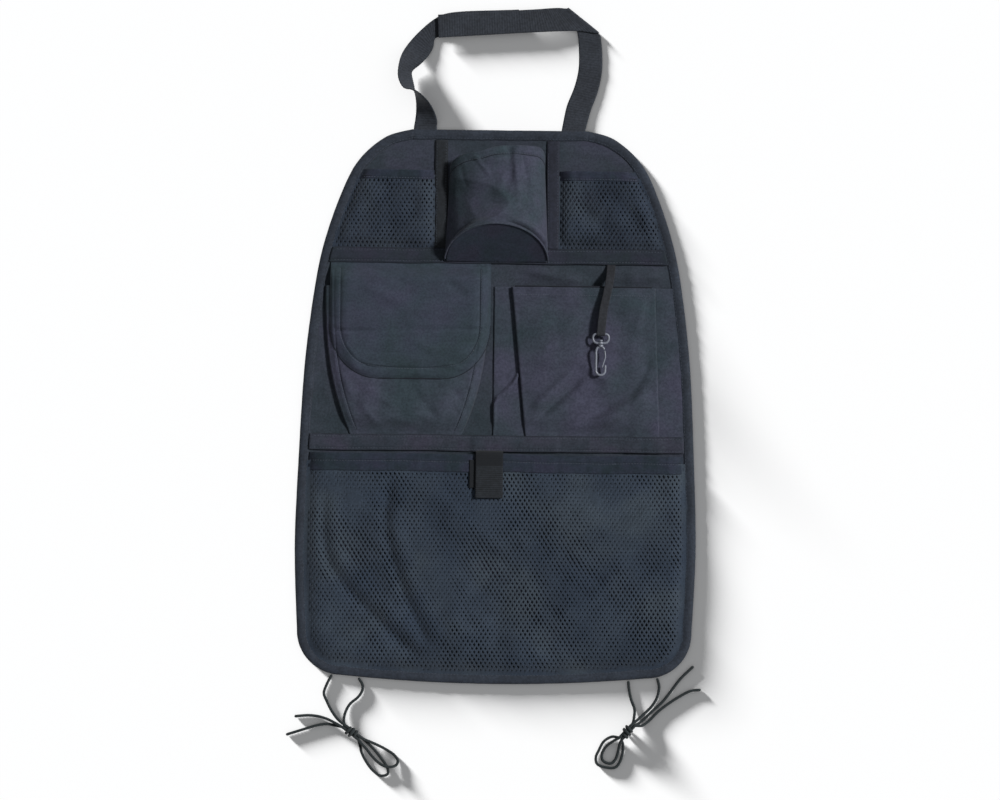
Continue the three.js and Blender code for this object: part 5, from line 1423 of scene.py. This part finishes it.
# Rungs of the strap from the binding up: its left and right point, with y from the top of the panel
LEFT_RUNGS = [
    [(-93.4, -1.4, 1.6), (-68.4, -1.4, 1.6)], [(-92.9, 4, 1.6), (-68.3, 4, 2.6)],
    [(-91.8, 10, 1.6), (-68.2, 9, 5.6)], [(-90.8, 20, 1.4), (-71.5, 19, 13)],
    [(-91, 31, 1.2), (-79.5, 30.6, 22)], [(-92.6, 39.5, 1.2), (-92, 40.2, 25.6)],
    [(-93.4, 46, 1.2), (-104, 43, 22.5)], [(-95.4, 54, 1.4), (-110, 53.5, 20.5)],
    [(-96, 62, 2), (-109.6, 69, 20)], [(-87, 70, 2.6), (-106.4, 81, 12)],
    [(-78.6, 79, 1.8), (-101, 91, 3.6)], [(-73.6, 88, 1.2), (-89, 105, 1.4)],
    [(-71, 98.5, 1), (-72, 119.5, 1)], [(-58, 100.6, 1), (-59.5, 125.4, 1)],
    [(20, 105.8, 1), (18.5, 130.6, 1)],
]
RIGHT_RUNGS = [
    [(66, -1.4, 1.6), (91.3, -1.4, 1.6)], [(68.4, 12, 1.3), (94, 9, 1.3)], [(71.6, 27, 1), (97.4, 22, 1)],
    [(79.6, 48, 1), (104.6, 42, 1)], [(83.6, 66, 1), (108.8, 62, 1)], [(84, 84, 1), (109.2, 82, 1)],
    [(82, 106, 1), (107.6, 100, 1)], [(77, 119, 1), (107, 103, 1)], [(71, 132.2, 1), (104.8, 105.8, 1)],
    [(71.6, 132.9, 1.85), (105.4, 106.5, 1.85)], [(71, 132.2, 2.7), (104.8, 105.8, 2.7)],
    [(61, 132.6, 2.8), (82, 107.8, 2.8)], [(36, 130.6, 4.7), (40, 106, 4.7)],
    [(-16, 127.2, 4.7), (-15, 102.4, 4.7)], [(-68.6, 123.6, 4.7), (-67.6, 98.8, 4.7)],
]
STRAP_SLOPE = math.atan2(3.6, 52)


def make_straps():
    for name, rungs in (("strap_left", LEFT_RUNGS), ("strap_right", RIGHT_RUNGS)):
        from_foot = np.array(rungs) + (0, PANEL_HEIGHT, 0)
        build(name + "_webbing", strip(from_foot, 1.2, 17, 0.5, 2.7, 0.22), STRAP_MATERIAL, [name])
    u, v = np.meshgrid(np.linspace(-35, 35, 90), np.linspace(-10.5, 10.5, 28))
    x = -22 + u * math.cos(STRAP_SLOPE) - v * math.sin(STRAP_SLOPE)
    y = PANEL_HEIGHT + 115 + u * math.sin(STRAP_SLOPE) + v * math.cos(STRAP_SLOPE)
    low = 1.7 + GAP + PATCH / 2
    make_patch("strap_loop_patch", x, y, low, 121)
    make_patch("strap_hook_patch", x, y, low + PATCH + GAP, 121)


make_straps()


def make_ribbon():
    wrap = 1.2 + GAP + CLOTH / 2
    bar_y, bar_z = CLIP[1], CLIP[2]

    def ribbon_x(y):
        return CLIP[0] + 10.6 * smooth((y - bar_y - 2) / (UPPER_SEAM - bar_y))

    under = [(UPPER_SEAM + 4, SEAM_Z), (UPPER_SEAM - 3, SEAM_Z + 0.3), (UPPER_SEAM - 9, SEAM_Z + 5),
             (UPPER_SEAM - 17, bar_z - 4), (UPPER_SEAM - 30, bar_z - 2.3), (UPPER_SEAM - 50, bar_z - wrap)]
    over = [(UPPER_SEAM - 50, bar_z - wrap + 2.2), (UPPER_SEAM - 30, bar_z - 1.1),
            (UPPER_SEAM - 15.6, bar_z - 2.9), (UPPER_SEAM - 7.7, SEAM_Z + 5.4),
            (UPPER_SEAM - 2, SEAM_Z + 1.4), (UPPER_SEAM - GAP, SEAM_Z + 0.9)]
    turn = [(bar_y + wrap * math.cos(angle), bar_z + wrap * math.sin(angle))
            for angle in np.linspace(-math.pi / 2, -1.5 * math.pi, 9)]
    rungs = [((ribbon_x(y) - 4.5, y, z), (ribbon_x(y) + 4.5, y, z)) for y, z in under + turn + over]
    build("clip_ribbon", strip(rungs, CLOTH, 13, 0.8, 1.3, 0.05), RIBBON_MATERIAL, ["key_ribbon"])


make_ribbon()


def make_closure():
    x_low, x_high = TAB_X - TAB_WIDTH / 2, TAB_X + TAB_WIDTH / 2
    profile = [(LOWER_SEAM + 7, SEAM_Z + 0.4), (LOWER_SEAM - 0.5, SEAM_Z + 0.5),
               (LOWER_SEAM - 0.9, SEAM_Z + 3.5), (LOWER_SEAM + 0.4, TAB_Z - 3), (LOWER_SEAM - 2, TAB_Z - 0.7),
               (LOWER_SEAM - 6, TAB_Z), (LOWER_SEAM - 20, TAB_Z), (TAB_END, TAB_Z)]
    rungs = [((x_low, y, z), (x_high, y, z)) for y, z in profile]
    tab = build("closure_webbing", strip(rungs, 1.1, 31, 0.5, 2.6, 0.17), TAB_MATERIAL,
                ["closure_tab"])
    # Faces of the tab above this line get the nearly black copy of its colour: painted shade where it dips
    # under the band.
    tab.data.materials.append(TAB_PAINTED_SHADE_MATERIAL)
    painted_shade_from = BOTTOM + (LOWER_SEAM - 15.5) * MM
    for face in tab.data.polygons:
        face.material_index = int(face.center.y > painted_shade_from)
    patches = (("closure_loop_patch", TAB_X - 6.5, TAB_WIDTH, 212, 242, 12.15),
               ("closure_hook_patch", TAB_X, TAB_WIDTH - 4, TAB_END + 3, 238, 13.1))
    for name, x, width, foot, top, z in patches:
        across, up = np.linspace(x - width / 2, x + width / 2, 40), np.linspace(foot, top, 40)
        make_patch(name, *np.meshgrid(across, up), z, 131)


make_closure()


def make_flap_tapes():
    x, y = np.meshgrid(np.linspace(-139.5, -49.5, 90), np.linspace(346.5, 366.5, 24))
    for name in ("flap_loop_tape", "flap_hook_tape"):
        low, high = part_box(name)
        make_patch(name, x, y, (low[2] + high[2]) / 2 / MM, 141)


make_flap_tapes()


# Swivel clip, laid out from the middle of the ribbon's loop, with lengths down to the tip of the hook

EYE_HALF, EYE_CORNER, EYE_ROUND = 8.5, 3.6, 4.9
HUB = [(1.6, -8.4), (2.3, -8.4), (2.6, -8.7), (2.6, -10.9), (2.3, -11.2), (1.6, -11.2)]
POST = [(0.001, -6.1), (1.6, -6.1), (2.1, -6.5), (2.1, -7.7), (1.7, -8.1), (1.3, -8.1), (1.3, -11.6),
        (2.2, -11.5), (2.6, -11.9), (2.6, -13.6), (2.2, -14.1), (0.001, -14.1)]
STUB = [(0, -13.5, 0), (2.5, -14.5, 0), (3.9, -17.05, 0)]
LEAF = [(4.3, -18.4, 0), (5.0, -24.7, 0), (3.3, -30.7, 0), (1.7, -36.2, 0)]
LEAF_ROOT = [(0.001, -17.7), (0.7, -17.85), (1.1, -18.7), (0.7, -19.6), (0.001, -19.8)]


def arc(x, y, radius, start, end, count=14):
    """Points round part of a circle. Its angles are in right angles."""
    angles = np.linspace(start, end, count) * math.pi / 2
    return [(x + radius * math.cos(a), y + radius * math.sin(a), 0) for a in angles]


def make_clip():
    origin = np.array(CLIP)

    def wire(points, step, radius, sides=14):
        return tube(curve_through(points, step) + origin, radius, sides)

    loop = [*arc(EYE_CORNER - EYE_HALF, -EYE_CORNER, EYE_CORNER, 1, 2),
            *arc(EYE_ROUND - EYE_HALF, -EYE_ROUND, EYE_ROUND, 2, 3),
            *arc(EYE_HALF - EYE_ROUND, -EYE_ROUND, EYE_ROUND, -1, 0),
            *arc(EYE_HALF - EYE_CORNER, -EYE_CORNER, EYE_CORNER, 0, 1)]
    ring = spread(np.array(loop + loop[:1]), 0.7)[:-1] + origin
    eye = [tube(ring, 1.2, 14, closed=True), lathe(HUB, origin, closed=True)]
    body = [(0, -13.5, 0), (-3.7, -15.1, 0), (-4.9, -18.5, 0), (-4.9, -24, 0), *arc(0, -39.2, 4.9, 2, 4, 13),
            (5.1, -33.2, 0)]
    hook = [lathe(POST, origin), wire(body, 0.6, 1.25), wire(STUB, 0.5, 1.12)]
    gate = [wire(LEAF, 0.5, 0.75, 12), lathe(LEAF_ROOT, origin + (LEAF[0][0], 0, 0))]
    for name, shape, role in (("clip_swivel_eye", eye, "eye"), ("clip_snap_hook", hook, "hook"),
                              ("clip_gate_leaf", gate, "gate")):
        build(name, shape, PLASTIC_MATERIAL, [f"clip_{role}"], role)


make_clip()


# Floor and light

FLOOR_HALF, FLOOR_Z = 4.0, -0.0004
FLOOR_LEVEL, FLOOR_GLOW = 0.95, 0.05
WORLD_LEVEL = 0.24
SUN_LEVEL = 1 - WORLD_LEVEL


def make_floor():
    n = Nodes("floor")
    diffuse = n.add("ShaderNodeBsdfDiffuse")
    diffuse.inputs["Color"].default_value = (*grey(FLOOR_LEVEL), 1)
    glow = n.add("ShaderNodeEmission")
    glow.inputs["Color"].default_value = (1, 1, 1, 1)
    path = n.add("ShaderNodeLightPath")
    seen = n.math("MAXIMUM", path.outputs["Is Camera Ray"], path.outputs["Is Glossy Ray"])
    seen = n.math("MAXIMUM", seen, path.outputs["Is Transmission Ray"])
    n.link(n.math("MULTIPLY", seen, FLOOR_GLOW), glow.inputs["Strength"])
    both = n.add("ShaderNodeAddShader")
    n.link(diffuse.outputs["BSDF"], both.inputs[0])
    n.link(glow.outputs["Emission"], both.inputs[1])
    n.link(both.outputs["Shader"], n.output.inputs["Surface"])
    mesh = bpy.data.meshes.new("floor")
    corners = [(x * FLOOR_HALF, y * FLOOR_HALF, FLOOR_Z) for x, y in ((-1, -1), (1, -1), (1, 1), (-1, 1))]
    mesh.from_pydata(corners, [], [(0, 1, 2, 3)])
    floor = bpy.data.objects.new("floor", mesh)
    bpy.context.scene.collection.objects.link(floor)
    mesh.materials.append(n.material)
    return floor


def add_sun(name, azimuth, elevation, spread_angle, floor, state):
    """A sun that gives an open level surface SUN_LEVEL. state: it lights only the floor, or all but it."""
    azimuth, elevation = math.radians(azimuth), math.radians(elevation)
    data = bpy.data.lights.new(name, "SUN")
    data.energy = SUN_LEVEL * math.pi / math.sin(elevation)
    data.angle = math.radians(spread_angle)
    lamp = bpy.data.objects.new(name, data)
    level = math.cos(elevation)
    way = Vector((math.cos(azimuth) * level, math.sin(azimuth) * level, math.sin(elevation)))
    lamp.rotation_euler = way.to_track_quat("Z", "Y").to_euler()
    bpy.context.scene.collection.objects.link(lamp)
    linked = bpy.data.collections.new(name + "_receivers")
    linked.objects.link(floor)
    linked.collection_objects[0].light_linking.link_state = state
    lamp.light_linking.receiver_collection = linked


def make_light(floor):
    """The photo's drop shadow falls to the lower right, but its cloth is lit from the upper right."""
    world = bpy.data.worlds.new("world")
    bpy.context.scene.world = world
    world.use_nodes = True
    background = world.node_tree.nodes["Background"]
    background.inputs["Color"].default_value = (0.97, 0.985, 1, 1)
    background.inputs["Strength"].default_value = WORLD_LEVEL
    add_sun("cloth_sun", 22, 43, 9, floor, "EXCLUDE")
    add_sun("floor_sun", 137, 8.5, 8, floor, "INCLUDE")


make_light(make_floor())
bpy.context.scene.view_settings.view_transform = "Standard"
